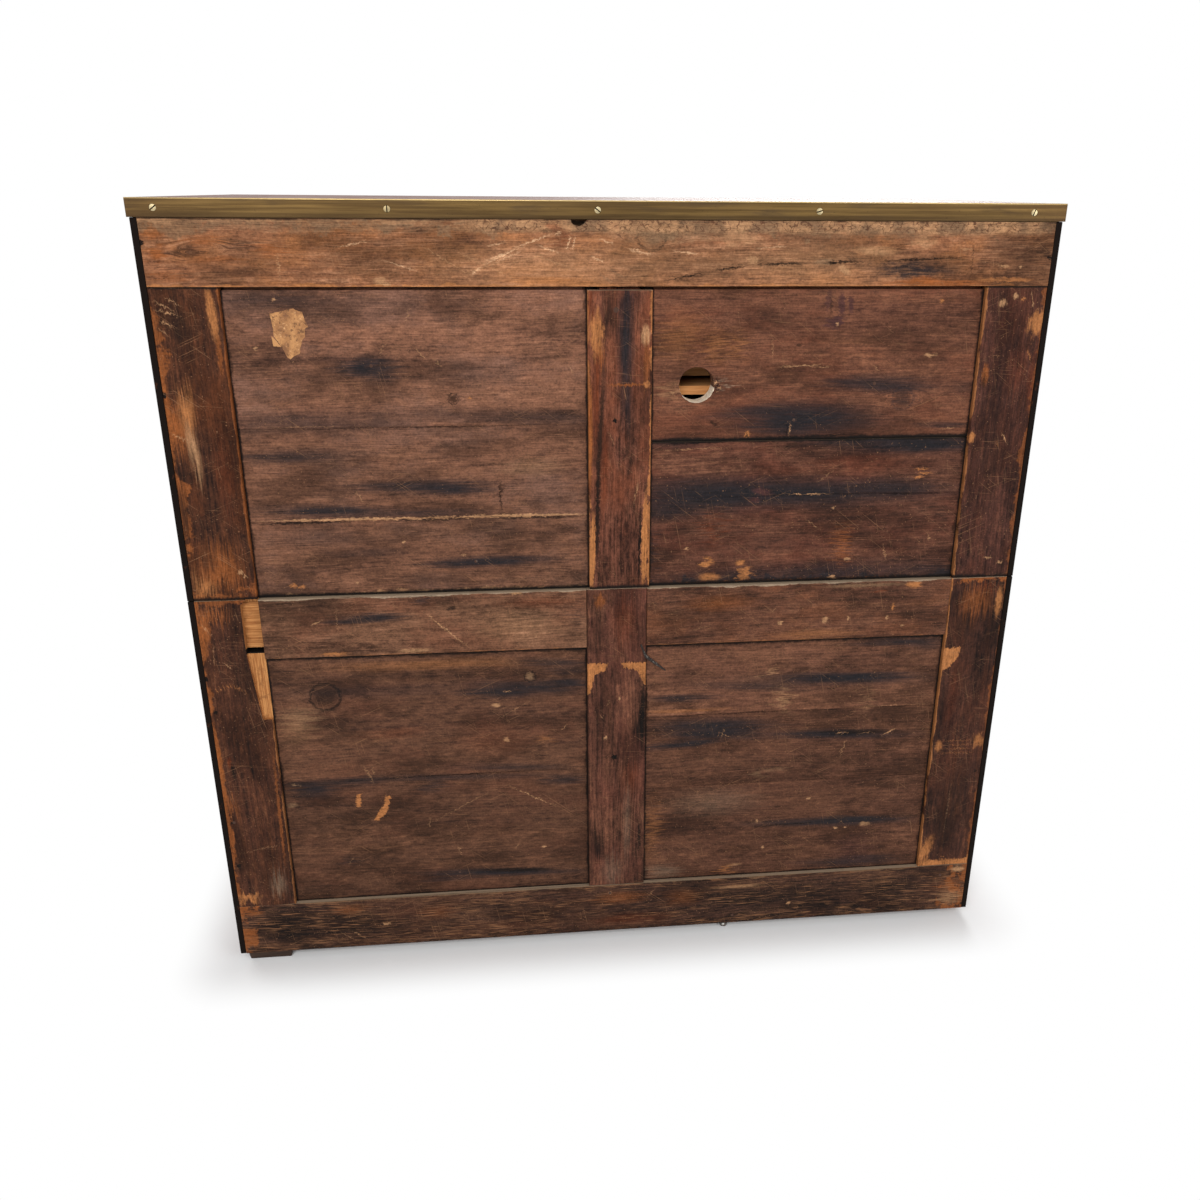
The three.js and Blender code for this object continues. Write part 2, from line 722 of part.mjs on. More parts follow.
// A carrying handle on the outside of a case side: side is -1 for left and 1 for right.
function carryingHandle(name, side, up) {
  const turn = side * Math.PI / 2;
  const plateShape = roundedRectangle(handlePlateWidth, handlePlateHeight, handlePlateCorner, 0, 0);
  const plate = alongY(plateShape, [-handlePlateThickness - fitGap, -fitGap]);
  const pivotDepth = -handlePlateThickness - fitGap - earReach / 2;
  const earInner = handleWidth / 2 + handleEarGap + handleWire / 2;
  const ears = [-earInner - earWidth, earInner].map((start) =>
    block(
      [start, start + earWidth],
      [-handlePlateThickness - fitGap - earReach, -fitGap - handlePlateThickness / 2],
      [-earHeight / 2, earHeight / 2],
    ),
  );
  const pin = handleEarGap + handleWire / 2 + earWidth;
  const pivots = bar(
    'x',
    [-earInner - earWidth - overrun, earInner + earWidth + overrun],
    [0, pivotDepth, 0],
    handleWire + 2 * pivotSlack,
    pivotSides,
  );
  const group = new THREE.Group();
  group.position.set(side * halfWidth, 0, up);
  group.rotation.z = turn;
  group.add(piece(`${name}_plate`, joinAll(plate, ears).subtract(pivots), finishes.agedBrass));
  const grip = bail(handleWidth, handleDrop, pin, handleBend, handleWire);
  const gripMesh = piece(`${name}_bail`, grip, finishes.agedBrass);
  gripMesh.position.set(0, pivotDepth, 0);
  group.add(gripMesh);
  return group;
}

// The lower case with its boards, back, drawers and handles.
function lowerCase() {
  const group = new THREE.Group();
  group.position.set(0, 0, lowerBase);
  const ceiling = lowerCaseHeight - boardThickness;
  const railTop = boardThickness + bottomOpening + dustRailHeight;
  const housings = [
    [-overrun, boardThickness, boardBack],
    [railTop - dustRailHeight, railTop, front + dustRailDepth],
    [railTop - dustBoardThickness, railTop, boardBack],
    [ceiling, lowerCaseHeight + overrun, boardBack],
  ];
  const side = caseSide(lowerCaseHeight, housings);
  group.add(piece('lower_side_left', mirrored(side), finishes.edgeWood));
  group.add(piece('lower_side_right', side, finishes.edgeWood));

  const pegs = pegPlaces().map(([x, y]) =>
    bar('z', [lowerCaseHeight - overrun, lowerCaseHeight + pegHeight], [x, y, 0], pegDiameter, holeSides),
  );
  const topBoard = joinAll(crossBoard(ceiling, lowerCaseHeight, boardBack), pegs);
  group.add(piece('lower_top_board', topBoard, finishes.insideWood));
  const stops = drawerStops(-inside, inside, boardThickness);
  const bottomBoard = joinAll(crossBoard(0, boardThickness, boardBack), stops);
  group.add(piece('lower_bottom_board', bottomBoard, finishes.insideWood));
  const dust = joinAll(dustFrame(railTop), drawerStops(-inside, inside, railTop));
  group.add(piece('lower_dust_frame', dust, finishes.insideWood));

  lowerBack().forEach((mesh) => group.add(mesh));
  group.add(drawer('long_drawer_bottom', [-inside, inside], [boardThickness, railTop - dustRailHeight], pairOfPulls));
  group.add(drawer('long_drawer_middle', [-inside, inside], [railTop, ceiling], pairOfPulls));
  const handleUp = lowerCaseHeight * handleRiseShare;
  group.add(carryingHandle('lower_handle_left', -1, handleUp));
  group.add(carryingHandle('lower_handle_right', 1, handleUp));
  return group;
}

// The upper case with its boards, top, back, drawers and handles.
function upperCase() {
  const group = new THREE.Group();
  group.position.set(0, 0, upperBase);
  const railTop = boardThickness + upperLongOpening + dustRailHeight;
  const housings = [
    [-overrun, boardThickness, boardBack],
    [railTop - dustRailHeight, railTop, front + dustRailDepth],
    [railTop - dustBoardThickness, railTop, boardBack],
  ];
  const side = caseSide(upperCaseHeight - fitGap, housings);
  group.add(piece('upper_side_left', mirrored(side), finishes.edgeWood));
  group.add(piece('upper_side_right', side, finishes.edgeWood));

  const sockets = pegPlaces().map(([x, y]) =>
    bar('z', [-overrun, pegHeight + pegSlack], [x, y, 0], pegDiameter + 2 * pegSlack, holeSides),
  );
  const bottomBoard = cutAll(crossBoard(0, boardThickness, boardBack), sockets);
  const bottomStops = drawerStops(-inside, inside, boardThickness);
  group.add(piece('upper_bottom_board', joinAll(bottomBoard, bottomStops), finishes.insideWood));

  const half = dividerThickness / 2;
  const stops = [...drawerStops(-inside, -half, railTop), ...drawerStops(half, inside, railTop)];
  group.add(piece('upper_dust_frame', joinAll(dustFrame(railTop), stops), finishes.insideWood));
  const divider = block([-half, half], [front, boardBack], [railTop + fitGap, upperCaseHeight - fitGap]);
  group.add(piece('short_drawer_divider', divider, finishes.polishedWood));

  caseTop().forEach((mesh) => group.add(mesh));
  upperBack().forEach((mesh) => group.add(mesh));
  group.add(drawer('long_drawer_top', [-inside, inside], [boardThickness, railTop - dustRailHeight], pairOfPulls));
  const shortMiddle = (half + inside) / 2;
  const shortHeights = [railTop, upperCaseHeight];
  group.add(drawer('short_drawer_left', [-inside, -half], shortHeights, [{ suffix: '', across: -shortMiddle }]));
  group.add(drawer('short_drawer_right', [half, inside], shortHeights, [{ suffix: '', across: shortMiddle }]));
  const handleUp = upperCaseHeight * handleRiseShare;
  group.add(carryingHandle('upper_handle_left', -1, handleUp));
  group.add(carryingHandle('upper_handle_right', 1, handleUp));
  return group;
}

// A low square foot block, a little narrower at the floor.
function footBlock(name, x, y) {
  const top = footSize / Math.SQRT2;
  const bottom = (footSize - footTaper) / Math.SQRT2;
  const geometry = new THREE.CylinderGeometry(top, bottom, footHeight - fitGap, 4);
  geometry.rotateX(Math.PI / 2);
  geometry.rotateZ(Math.PI / 4);
  geometry.translate(x, y, (footHeight - fitGap) / 2);
  return piece(name, toSolid(geometry), finishes.edgeWood);
}

// A domed steel glide whose spike is driven up into the bottom rail.
function glide() {
  const radius = glideDiameter / 2;
  const seat = footHeight - fitGap;
  const points = [
    [0, 0],
    [radius * glideFootShare, 0],
    [radius, glideDome * glideEdgeShare],
    [radius, glideDome],
    [glideNeck / 2, glideDome + (radius - glideNeck / 2)],
    [glideNeck / 2, seat],
    [glideSpike / 2, seat],
    [glideSpike / 2, seat + glideSpikeLength],
    [0, seat + glideSpikeLength],
  ].map(([across, up]) => new THREE.Vector2(across, up));
  const geometry = new THREE.LatheGeometry(points, pivotSides);
  geometry.rotateX(Math.PI / 2);
  geometry.translate(-glideAcross, back - glideInset, 0);
  return piece('rear_glide', toSolid(geometry), finishes.dullSteel);
}

// Three foot blocks and the glide that stands in for the fourth.
function feet() {
  const x = halfWidth - footSideInset - footSize / 2;
  const near = front + footEndInset + footSize / 2;
  const far = back - footEndInset - footSize / 2;
  return [
    footBlock('foot_front_left', -x, near),
    footBlock('foot_front_right', x, near),
    footBlock('foot_rear_right', x, far),
    glide(),
  ];
}

const chest = new THREE.Group();
chest.add(lowerCase());
chest.add(upperCase());
feet().forEach((mesh) => chest.add(mesh));

export default chest;
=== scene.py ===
"""A two-part campaign chest, seen from behind: its finishes, its fine shapes and the studio that it stands in.

The chest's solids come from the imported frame. The drawers face -Y and the old pine back faces +Y, and right is +X.
Places on the chest are written in millimetres and turned to metres where a mesh is made.
"""

from __future__ import annotations

import logging
import math
from collections.abc import Iterable, Sequence
from dataclasses import dataclass, replace
from enum import Enum
from functools import partial
from typing import Any

import bmesh
import bpy
from mathutils import Matrix, Vector, noise

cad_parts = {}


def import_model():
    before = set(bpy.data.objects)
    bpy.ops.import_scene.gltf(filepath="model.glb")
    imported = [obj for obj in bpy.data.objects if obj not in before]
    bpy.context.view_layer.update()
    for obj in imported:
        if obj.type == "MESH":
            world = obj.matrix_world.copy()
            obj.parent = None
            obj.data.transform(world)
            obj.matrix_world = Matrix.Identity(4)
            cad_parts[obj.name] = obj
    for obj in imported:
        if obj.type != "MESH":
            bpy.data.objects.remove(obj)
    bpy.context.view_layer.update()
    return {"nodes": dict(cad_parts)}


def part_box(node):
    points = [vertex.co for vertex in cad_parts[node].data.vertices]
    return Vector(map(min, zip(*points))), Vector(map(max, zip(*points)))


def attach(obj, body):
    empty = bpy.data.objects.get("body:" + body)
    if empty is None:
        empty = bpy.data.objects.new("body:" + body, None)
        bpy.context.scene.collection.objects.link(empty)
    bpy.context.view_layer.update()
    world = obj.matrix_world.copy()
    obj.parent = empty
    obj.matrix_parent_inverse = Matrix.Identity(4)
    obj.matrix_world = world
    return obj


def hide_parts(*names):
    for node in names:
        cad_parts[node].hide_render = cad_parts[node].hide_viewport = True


log = logging.getLogger("campaign_chest")

MM = 0.001
LARGE_FACE = 4e-4

Colour = tuple[float, float, float, float]
Triple = tuple[float, float, float]
Point = tuple[float, float]
Mesh = bmesh.types.BMesh
Object = bpy.types.Object
Material = bpy.types.Material
Nodes = dict[str, Object]

NO_COLOUR = (0.0, 0.0, 0.0, 1.0)
WHITE = (1.0, 1.0, 1.0, 1.0)


def shade(red: float, green: float, blue: float) -> Colour:
    """Turns a display colour into the linear one that a shader takes.

    Args:
        red: Red, from 0 to 255.
        green: Green, from 0 to 255.
        blue: Blue, from 0 to 255.

    Returns:
        The linear colour with full alpha.
    """

    def linear(value: float) -> float:
        """Undoes the display curve of one channel."""
        share = value / 255
        return share / 12.92 if share <= 0.04045 else ((share + 0.055) / 1.055) ** 2.4

    return linear(red), linear(green), linear(blue), 1.0


class Grain(Enum):
    """The direction in which a board's grain runs."""

    ACROSS = "x"
    DEEP = "y"
    UP = "z"


class Side(Enum):
    """A side of a member of the back, as an axis and the end of it."""

    LEFT = ("x", -1)
    RIGHT = ("x", 1)
    BOTTOM = ("z", -1)
    TOP = ("z", 1)


class Tone(Enum):
    """The colours that age, damage and dirt leave on the old pine. Black also paints shade along shadowed edges and in
    slots, and glint paints pale scratches with their painted highlight.
    """

    BARE = shade(164, 106, 62)
    ORANGE = shade(134, 76, 38)
    PALE = shade(168, 126, 90)
    SCRATCH = shade(142, 102, 72)
    FLECK = shade(138, 96, 66)
    INK = shade(31, 29, 32)
    BLACK = shade(16, 12, 10)
    BROWN = shade(42, 26, 18)
    PURPLE = shade(68, 42, 40)
    RUST = shade(96, 44, 22)
    ASH = shade(120, 92, 68)
    DUST = shade(156, 136, 114)
    GLINT = shade(204, 162, 124)


LEFT, RIGHT, BOTTOM, TOP = Side
BARE, ORANGE, PALE, SCRATCH, FLECK, INK, BLACK, BROWN, PURPLE, RUST, ASH, DUST, GLINT = Tone


class Wire:
    """One output of a shader node, which sums and products can be made of."""

    def __init__(self, net: Net, socket: bpy.types.NodeSocket) -> None:
        """Keeps the socket and the net that it belongs to."""
        self.net = net
        self.socket = socket

    def output(self, name: str | int) -> Wire:
        """Gives another output of the same node."""
        return Wire(self.net, self.socket.node.outputs[name])

    def __add__(self, other: Wire | float) -> Wire:
        """Adds a value."""
        return self.net.maths("ADD", self, other)

    def __sub__(self, other: Wire | float) -> Wire:
        """Takes a value away."""
        return self.net.maths("SUBTRACT", self, other)

    def __mul__(self, other: Wire | float) -> Wire:
        """Multiplies by a value."""
        return self.net.maths("MULTIPLY", self, other)

    def __truediv__(self, other: Wire | float) -> Wire:
        """Divides by a value."""
        return self.net.maths("DIVIDE", self, other)

    def __rsub__(self, other: float) -> Wire:
        """Takes this value away from a number."""
        return self.net.maths("SUBTRACT", other, self)

    def __gt__(self, other: float) -> Wire:
        """Gives 1 above a number and 0 elsewhere."""
        return self.net.maths("GREATER_THAN", self, other)

    def __lt__(self, other: float) -> Wire:
        """Gives 1 below a number and 0 elsewhere."""
        return self.net.maths("LESS_THAN", self, other)

    def __abs__(self) -> Wire:
        """Takes the sign away."""
        return self.net.maths("ABSOLUTE", self)

    __radd__ = __add__
    __rmul__ = __mul__


Value = Wire | float | Triple | Colour


class Net:
    """The shader nodes of a material or of the world."""

    def __init__(self, owner: Material | bpy.types.World) -> None:
        """Empties the owner's tree of nodes.

        Args:
            owner: What the nodes belong to.
        """
        owner.use_nodes = True
        self.owner = owner
        self.tree = owner.node_tree
        self.tree.nodes.clear()
        self._place: Wire | None = None

    def make(
        self,
        kind: str,
        inputs: dict[str | int, Value] | None = None,
        settings: dict[str, Any] | None = None,
        output: str | int = 0,
    ) -> Wire:
        """Adds a node.

        Args:
            kind: The node's type, without the word that all shader nodes begin with.
            inputs: A number, a tuple or a wire for each socket that isn't left as it is.
            settings: The node's own settings, which are set before its sockets.
            output: The socket that the wire comes from.

        Returns:
            The wire from that socket.
        """
        node = self.tree.nodes.new(f"ShaderNode{kind}")
        for name, value in (settings or {}).items():
            setattr(node, name, value)
        for name, value in (inputs or {}).items():
            if isinstance(value, Wire):
                self.tree.links.new(value.socket, node.inputs[name])
            else:
                node.inputs[name].default_value = value
        return Wire(self, node.outputs[output] if node.outputs else None)

    def maths(
        self, operation: str, first: Wire | float, second: Wire | float = 0.0, third: Wire | float = 0.0
    ) -> Wire:
        """Adds a Math node with up to three values."""
        return self.make("Math", {0: first, 1: second, 2: third}, {"operation": operation})

    def held(self, value: Wire) -> Wire:
        """Keeps a value between 0 and 1."""
        return self.make("Clamp", {"Value": value})

    def smooth(self, value: Wire, start: float, end: float, low: float = 0.0, high: float = 1.0) -> Wire:
        """Eases from one value to another.

        Args:
            value: What the result depends on.
            start: Where the result leaves its first value.
            end: Where it reaches its second value.
            low: The first value.
            high: The second value.

        Returns:
            The eased value.
        """
        if start > end:
            start, end, low, high = end, start, high, low
        inputs = {"Value": value, "From Min": start, "From Max": end, "To Min": low, "To Max": high}
        return self.make("MapRange", inputs, {"interpolation_type": "SMOOTHSTEP"})

    def blend(self, share: Wire | float, first: Value, second: Value) -> Wire:
        """Mixes two colours, with all of the first one at a share of 0."""
        settings = {"data_type": "RGBA", "blend_type": "MIX", "clamp_factor": True}
        return self.make("Mix", {0: share, 6: first, 7: second}, settings, 2)

    def lay(self, colour: Wire, patches: Wire, start: float, end: float, tint: Colour, most: float = 1.0) -> Wire:
        """Lays a tint over a colour, none at the start of some noise and the most at its end."""
        return self.blend(self.smooth(patches, start, end, 0.0, most), colour, tint)

    def dimmed(self, colour: Wire, level: Wire) -> Wire:
        """Multiplies a colour by a level, which may be above 1."""
        settings = {"data_type": "RGBA", "clamp_factor": False}
        return self.make("Mix", {0: level, 6: NO_COLOUR, 7: colour}, settings, 2)

    def vector(self, operation: str, first: Value, second: Value = (0, 0, 0), third: Value = (0, 0, 0)) -> Wire:
        """Adds a Vector Math node with up to three vectors."""
        output = 1 if operation in ("LENGTH", "DOT_PRODUCT") else 0
        return self.make("VectorMath", {0: first, 1: second, 2: third}, {"operation": operation}, output)

    def place(self) -> Wire:
        """Gives where a point is, in millimetres.

        Returns:
            The place on the chest at rest.
        """
        if self._place is None:
            self._place = self.scaled(self.make("TexCoord", output="Object"), (1 / MM, 1 / MM, 1 / MM))
        return self._place

    def scaled(self, vector: Wire, factors: Triple, shift: Triple = (0, 0, 0)) -> Wire:
        """Multiplies a vector by three factors and shifts it."""
        return self.vector("MULTIPLY_ADD", vector, factors, shift)

    def axes(self, vector: Wire) -> tuple[Wire, Wire, Wire]:
        """Splits a vector into its three parts."""
        first = self.make("SeparateXYZ", {0: vector})
        return first, first.output(1), first.output(2)

    def joined(self, x: Wire | float, y: Wire | float, z: Wire | float) -> Wire:
        """Makes a vector of three values."""
        return self.make("CombineXYZ", {0: x, 1: y, 2: z})

    def lumps(
        self, vector: Wire, sizes: float | Triple, seeds: Triple, detail: float, rough: float, output: int = 0
    ) -> Wire:
        """Adds soft noise whose lumps have a given size on each axis.

        Args:
            vector: The place that the noise depends on.
            sizes: The size of a lump, or its size on each axis, in the vector's own units.
            seeds: What makes this noise unlike others, on each axis.
            detail: How many finer layers there are.
            rough: How strong the finer layers are.
            output: 0 for one value and 1 for three.

        Returns:
            The noise, from 0 to 1 and mostly near the middle.
        """
        across, deep, up = sizes if isinstance(sizes, tuple) else (sizes, sizes, sizes)
        shift = (seeds[0] * 7.31, seeds[1] * 3.77, seeds[2] * 5.13)
        spread = self.scaled(vector, (1 / across, 1 / deep, 1 / up), shift)
        inputs = {"Vector": spread, "Scale": 1.0, "Detail": detail, "Roughness": rough}
        return self.make("TexNoise", inputs, output=output)

    def cloud(
        self, vector: Wire, sizes: float | Triple, seed: float, detail: float = 2.0, rough: float = 0.5
    ) -> Wire:
        """Adds noise of one value, as lumps does, with one seed for all axes."""
        return self.lumps(vector, sizes, (seed, seed, seed), detail, rough)

    def swing(self, gain: float, *cloud: Any) -> Wire:
        """Gives a cloud about 0 instead, mostly within a tenth of the gain."""
        return self.maths("MULTIPLY_ADD", self.cloud(*cloud), gain, -gain / 2)

    def seen(self) -> Wire:
        """Tells how a ray came to the surface.

        Returns:
            1 from the camera, a mirror or a glass, and 0 from elsewhere.
        """
        rays = self.make("LightPath", output="Is Camera Ray")
        seen = self.maths("MAXIMUM", rays, rays.output("Is Glossy Ray"))
        return self.maths("MAXIMUM", seen, rays.output("Is Transmission Ray"))

    def finish(self, inputs: dict[str, Value], height: Wire, depth: float) -> Material:
        """Ends the net in a surface.

        Args:
            inputs: Values and wires for the surface's sockets.
            height: The relief, from 0 to 1.
            depth: What a height of 1 stands for, in millimetres.

        Returns:
            The finished material.
        """
        bump = self.make("Bump", {"Height": height, "Distance": depth * MM, "Strength": 1.0})
        surface = self.make("BsdfPrincipled", {**inputs, "Normal": bump})
        self.make("OutputMaterial", {"Surface": surface})
        return self.owner


def material_net(name: str) -> Net:
    """Makes a material with an empty net."""
    return Net(bpy.data.materials.new(name))


@dataclass(frozen=True)
class Rect:
    """The visible rectangle of a member of the back, in millimetres."""

    left: float
    right: float
    bottom: float
    top: float


class Edge(Enum):
    """How the edge of a mark is broken."""

    STREAKED = "feathered along the grain"
    TORN = "torn in coarse lumps"
    CRUMBLED = "crumbled finely"


@dataclass(frozen=True)
class Mark:
    """A stain, chip or other mark on a face of the back.

    Sizes are half of the mark's reach and height, in millimetres, and the turn is in degrees, from the right upwards.
    """

    x: float
    z: float
    reach: float
    height: float
    tone: Tone
    strength: float
    soft: float
    turn: float = 0.0
    sink: float = 0.0

    @property
    def edge(self) -> Edge:
        """The way that the mark's edge is broken.

        Returns:
            The way, which its softness and its size settle.
        """
        if self.soft >= 0.8:
            return Edge.STREAKED
        return Edge.CRUMBLED if min(self.reach, self.height) < 7 else Edge.TORN

    def cover(self, net: Net, places: dict[Edge, Wire]) -> Wire:
        """Gives how much of the mark covers each place.

        Args:
            net: The member's net.
            places: The place, shaken for each way of breaking an edge.

        Returns:
            The cover, from 0 to the mark's strength.
        """
        place = places[self.edge]
        if self.turn:
            cos, sin = math.cos(math.radians(self.turn)), math.sin(math.radians(self.turn))
            offset = net.vector("SUBTRACT", place, (self.x, 0, self.z))
            along = net.vector("DOT_PRODUCT", offset, (cos / self.reach, 0, sin / self.reach))
            up = net.vector("DOT_PRODUCT", offset, (-sin / self.height, 0, cos / self.height))
            local = net.joined(along, up, 0)
        else:
            factors = (1 / self.reach, 0, 1 / self.height)
            local = net.scaled(place, factors, (-self.x / self.reach, 0, -self.z / self.height))
        return net.smooth(net.vector("LENGTH", local), 1 - self.soft, 1 + self.soft / 4, self.strength, 0.0)


def marks(soft: float, tone: Tone, *rows: Sequence[float]) -> list[Mark]:
    """Makes marks of one softness and tone.

    Args:
        soft: How far in from its rim a mark fades, as a share of its size.
        tone: Their tone.
        rows: X, Z, reach, height and strength of each mark, and its turn and depth where it has them.

    Returns:
        The marks.
    """
    return [Mark(*row[:4], tone, row[4], soft, *row[5:]) for row in rows]


haze, smear, patch, scuff, blot, spot, dab, dent = (partial(marks, tenths / 10) for tenths in range(10, 2, -1))


def chip(tone: Tone, *rows: Sequence[float]) -> list[Mark]:
    """Makes chips down to lighter wood, from X, Z, reach and height, and the turn where there is one."""
    return [Mark(*row[:4], tone, 0.8, 0.6, *(row[4:] or (0.0,)), 0.35) for row in rows]


def stain(*rows: Sequence[float]) -> list[Mark]:
    """Makes stains that feather out along the grain, from X, Z, reach, height and strength, and the turn."""
    grown = ((x, z, reach * 1.25, height * 1.2, *rest) for x, z, reach, height, *rest in rows)
    return marks(0.95, INK, *grown)


def line(tone: Tone, *rows: Sequence[float]) -> list[Mark]:
    """Makes straight scratches and cracks.

    Args:
        tone: Their tone. Black ones are cracks, which are deep.
        rows: X and Z of both ends and the width of each one, and its strength where it isn't 0.9.

    Returns:
        The scratches.
    """
    result: list[Mark] = []
    for x0, z0, x1, z1, width, *strength in rows:
        reach = math.hypot(x1 - x0, z1 - z0) / 2
        turn = math.degrees(math.atan2(z1 - z0, x1 - x0))
        middle = ((x0 + x1) / 2, (z0 + z1) / 2)
        strength = strength or (0.9,)
        result.append(Mark(*middle, reach, width * 0.5, tone, *strength, 0.7, turn, float(tone is BLACK)))
    return result


@dataclass(frozen=True)
class Splinter:
    """A straight-sided place where wood has split off. Its corners enclose a convex shape."""

    corners: tuple[Point, ...]
    tone: Tone = BARE
    strength: float = 0.95
    sink: float = 0.3

    def cover(self, net: Net, places: dict[Edge, Wire]) -> Wire:
        """Gives how much of the splinter covers each place.

        Args:
            net: The member's net.
            places: The place, shaken for each way of breaking an edge.

        Returns:
            The cover, from 0 to the splinter's strength.
        """
        sides = list(zip(self.corners, (*self.corners[1:], self.corners[0])))
        area = sum(x0 * z1 - x1 * z0 for (x0, z0), (x1, z1) in sides)
        inside: Wire | None = None
        for (x0, z0), (x1, z1) in sides:
            length = math.copysign(math.hypot(x1 - x0, z1 - z0), area)
            inward = ((z0 - z1) / length, 0, (x1 - x0) / length)
            reach = net.vector("DOT_PRODUCT", places[Edge.CRUMBLED], inward) - (inward[0] * x0 + inward[2] * z0)
            inside = net.maths("MINIMUM", inside, reach) if inside else reach
        return net.smooth(inside, -0.5, 0.8, 0.0, self.strength)


@dataclass(frozen=True)
class Knot:
    """A knot: a dark heart with rings about it."""

    x: float
    z: float
    radius: float
    heart: Tone = BROWN
    ring: Tone = BLACK
    strength: float = 0.8


@dataclass(frozen=True)
class WearAndShade:
    """Where the stain has gone, or dirt has come, along one side of a member; some bands are painted shade instead."""

    side: Side
    width: float
    strength: float
    tone: Tone = BARE
    lump: float = 28.0
    ragged: float = 9.0


# Painted shade: black lines along a member's sides where it lies in shadow beside or under a prouder member, and the
# painted shadow at the seam between the cases.
SHADOWS = tuple(WearAndShade(side, 3.2, 0.9, BLACK, 30, 1.6) for side in Side)
SEAM_SHADOW = WearAndShade(BOTTOM, 5.5, 0.95, BLACK, 60, 1.0)


@dataclass(frozen=True)
class Fresh:
    """Where a break has laid bare wood that never was stained, with a slot whose shade is painted black."""

    grain: Grain
    left: float
    right: float
    bottom: float
    top: float
    depth: float
    # Bottom and top of the slot, whose shade is painted black.
    slot: Point = (0.0, 0.0)
    dark: Colour = shade(138, 84, 44)
    light: Colour = shade(196, 138, 84)

    def bare(self, net: Net, colour: Wire, seed: float) -> Wire:
        """Shows the fresh wood in its block, behind its depth, and paints the slot's shade black.

        Args:
            net: The member's net.
            colour: The colour so far.
            seed: The member's seed.

        Returns:
            The colour with the fresh wood.
        """
        x, y, z = net.axes(net.place())
        cover = y < self.depth
        for place, low, high in ((x, self.left, self.right), (z, self.bottom, self.top)):
            cover = cover * (place > low) * (place < high)
        along, across = (x, z) if self.grain is Grain.ACROSS else (z, x)
        streak = net.cloud(net.joined(along, across, y), (40, 1.3, 1.3), seed + 31, 4.0, 0.65)
        dirt = net.cloud(net.place(), 9, seed + 32, 4.0, 0.65)
        wood = net.blend(net.smooth(streak, 0.32, 0.68), self.dark, self.light)
        wood = net.lay(wood, dirt, 0.5, 0.72, shade(104, 64, 38), 0.5)
        # Painted shade: the slot band is painted black where it lies in shadow.
        slot = (z > self.slot[0]) * (z < self.slot[1])
        return net.blend(cover, colour, net.blend(slot, wood, BLACK.value))


@dataclass(frozen=True)
class OldPine:
    """Old softwood with a dark, worn stain."""

    name: str
    grain: Grain
    dark: Colour
    middle: Colour
    light: Colour
    tint: Colour
    seed: float
    joints: tuple[float, ...] = ()
    levels: tuple[float, ...] = ()
    # Bands of worn stain and dirt; on panels the brown bands at the frame also hold painted shade.
    wear_and_shade_bands: tuple[WearAndShade, ...] = ()
    marks: tuple[Mark | Splinter, ...] = ()
    # Painted shade: black bands where the member's edges lie in shadow and at the seam.
    gap_shadows: tuple[WearAndShade, ...] = ()
    knots: tuple[Knot, ...] = ()
    scratches: float = 0.5
    flecks: float = 0.0
    rubs: float = 0.4
    rings: float = 0.5
    wander: float = 12.0
    contrast: float = 1.0
    fresh: Fresh | None = None
    crazed: Rect | None = None
    roughness: float = 0.74

    def dress(self, rect: Rect) -> Material:
        """Makes the material of a member with this visible rectangle."""
        return PineNet(self, rect).painted()

    def marked(self, *marks: Mark | Splinter) -> OldPine:
        """Gives the same wood with these marks."""
        return replace(self, marks=marks)


